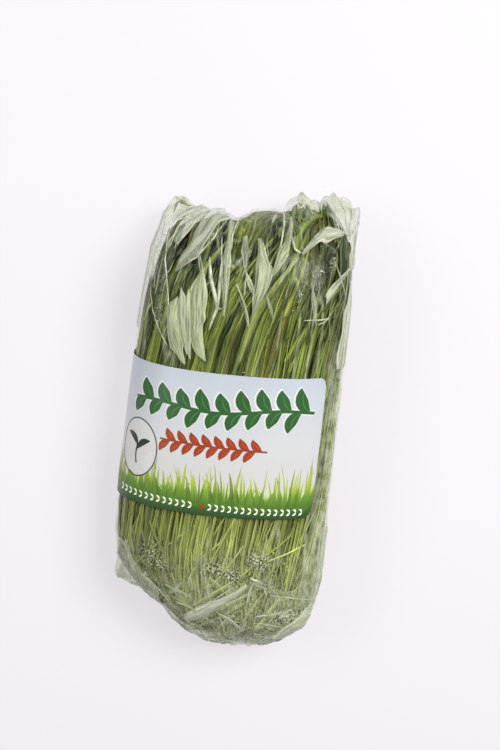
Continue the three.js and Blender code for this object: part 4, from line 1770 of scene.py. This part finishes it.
def crossing_stem(bunch, centre, draw):
    """A loose cut stem lying across the others near the sealed end."""
    start = draw.uniform(1.5, 5.4)
    rise = draw.uniform(0.3, 2.2)
    spot = centre + draw.uniform(-0.5, 0.5) / TUFTS
    across = draw.normal(-0.03, 0.055)
    layer = draw.uniform(0.8, 3.6)
    stem = draw.uniform(0.5, 1.5)
    tone = one_tone(draw, 0.8)

    def q(t):
        return limited(start + rise * t)

    bunch.blade(between(spot, spot + across), layer, q, stem, 0.0, 0.05, tone)


def heart(bunch, centre, under):
    """The packed inside of a tuft, which the shoots stand out of: a dark sheet whose painted shade stands in
    for the shade deep in the bundle.
    """
    top = 9.2 if under else 10.2

    def u(t):
        return centre + lean(2 + (top - 2) * t)

    bunch.blade(u, 13.5, between(2.0, top), lambda t: 17.0 * smooth(-0.2, 0.3, t), 0.0, 0.0, 0.0, HEART_THICK)


def tufts(template, material):
    for i in range(TUFTS):
        draw = np.random.default_rng(TUFT_SEED + i)
        centre = i / TUFTS
        under = bump_at(centre, 0.0, 0.4) > 0.5
        bunch = Blades(f"wheatgrass_tuft_{i + 1:02d}", template)
        heart(bunch, centre, under)
        for _ in range(CLUSTERS):
            drift = draw.normal(0, 0.028)
            for _ in range(SHOOTS // CLUSTERS):
                shoot(bunch, centre, drift, draw, under)
            for _ in range(SECOND_LEAVES // CLUSTERS):
                second_leaf(bunch, centre, drift, draw, under)
        for _ in range(0 if under else BENT_LEAVES):
            bent_leaf(bunch, centre, draw)
        for _ in range(CROSSING_STEMS):
            crossing_stem(bunch, centre, draw)
        if i == TOP_ARC_TUFT:
            top_arcs(bunch, draw)
        for lines, lay in (((*CORNER_LEAVES, LEFT_TIP), corner_leaf), (PLACED_LEAVES, placed_leaf)):
            for line in lines:
                if round((line[0][0] + line[1][0]) / 2 * TUFTS) == i:
                    lay(bunch, line, draw)
        bunch.done(material, "leaf_green", f"tuft_{i + 1:02d}")


LOOSE_BLADES = (
    ((0.56, 2.1), (0.44, 4.0)),
    ((0.45, 2.0), (0.36, 4.4)),
    ((0.6, 3.0), (0.52, 5.4)),
    ((0.5, 8.2), (0.41, 10.6)),
    ((0.62, 8.4), (0.55, 10.8)),
    ((0.13, 3.5), (0.2, 8.0)),
)
LOOSE_WIDTH = 3.4


def loose_width(t):
    return LOOSE_WIDTH * (0.55 + 0.45 * smooth(0, 0.3, t)) * (1 - smooth(0.7, 1.1, t)) + 0.1


def loose_blades(template, material):
    """The single shoots that lie across the others."""
    for i, (start, end) in enumerate(LOOSE_BLADES):
        bunch = Blades(f"loose_blade_{i + 1:02d}_leaf", template)
        bunch.straight(start, end, 0.012, 1.1, loose_width, 0.0, 0.1, 0.85)
        bunch.done(material, "stem_green", f"loose_blade_{i + 1:02d}")


# ---- condensation ----
DROP_SEED = 7
LOWEST_DROP = 1.2
# Where drops gather on the inside of the film: u, q, spread of each, and how many.
DROP_PATCHES = (
    (0.41, 9.75, 0.003, 0.25, 50),
    (0.385, 10.2, 0.01, 0.25, 60),
    (0.349, 10.6, 0.006, 0.15, 40),
    (0.365, 9.9, 0.006, 0.3, 30),
    (0.686, 9.85, 0.004, 0.12, 40),
    (0.672, 9.55, 0.004, 0.15, 36),
    (0.66, 9.1, 0.004, 0.25, 60),
    (0.652, 8.75, 0.003, 0.15, 30),
    (0.7, 10.4, 0.006, 0.3, 60),
    (0.62, 4.95, 0.03, 0.35, 170),
    (0.49, 4.95, 0.022, 0.24, 160),
    (0.43, 5.2, 0.016, 0.18, 100),
    (0.44, 2.2, 0.08, 0.5, 360),
    (0.33, 3.0, 0.03, 0.5, 260),
    (0.5, 6.0, 0.25, 4.0, 260),
)


def drops():
    """Beads of water on the inside of the film."""
    deselect()
    bpy.ops.mesh.primitive_ico_sphere_add(subdivisions=1, radius=1)
    bead = named("drop_bead")
    bpy.ops.object.shade_smooth()
    form = corners(bead)
    draw = np.random.default_rng(DROP_SEED)
    copies = []
    for u, q, wide, tall, count in DROP_PATCHES:
        at_u = draw.normal(u, wide, count)
        at_q = np.clip(draw.normal(q, tall, count), 1.3, 12.0)
        size = draw.gamma(2.0, 0.075, count) + 0.15
        spots = shell(at_u, at_q, stand_off(at_u, at_q)[0] - FILM_WALL)
        for spot, way, radius in zip(spots, outward(at_u, at_q), size):
            if spot[2] < LOWEST_DROP:
                continue
            flat = form - np.outer(form @ way, way) * 0.45
            copies.append(copied(bead, to_frame(spot + flat * radius)))
    piece = joined("water_drops", copies)
    removed(bead)
    dress(piece, water_material(), "film")


# ---- the whole ----
camera()
studio()
floor()
film_bag()
label()
printed_grass()
printed_sprig()
printed_grains()
printed_badge()
printed_foot()
blade_template = blade_form()
tufts(blade_template, grass_material("wheatgrass", 0.0))
loose_blades(blade_template, grass_material("pale_wheatgrass", 0.35))
film_creases(blade_template)
film_pleats()
removed(blade_template)
drops()
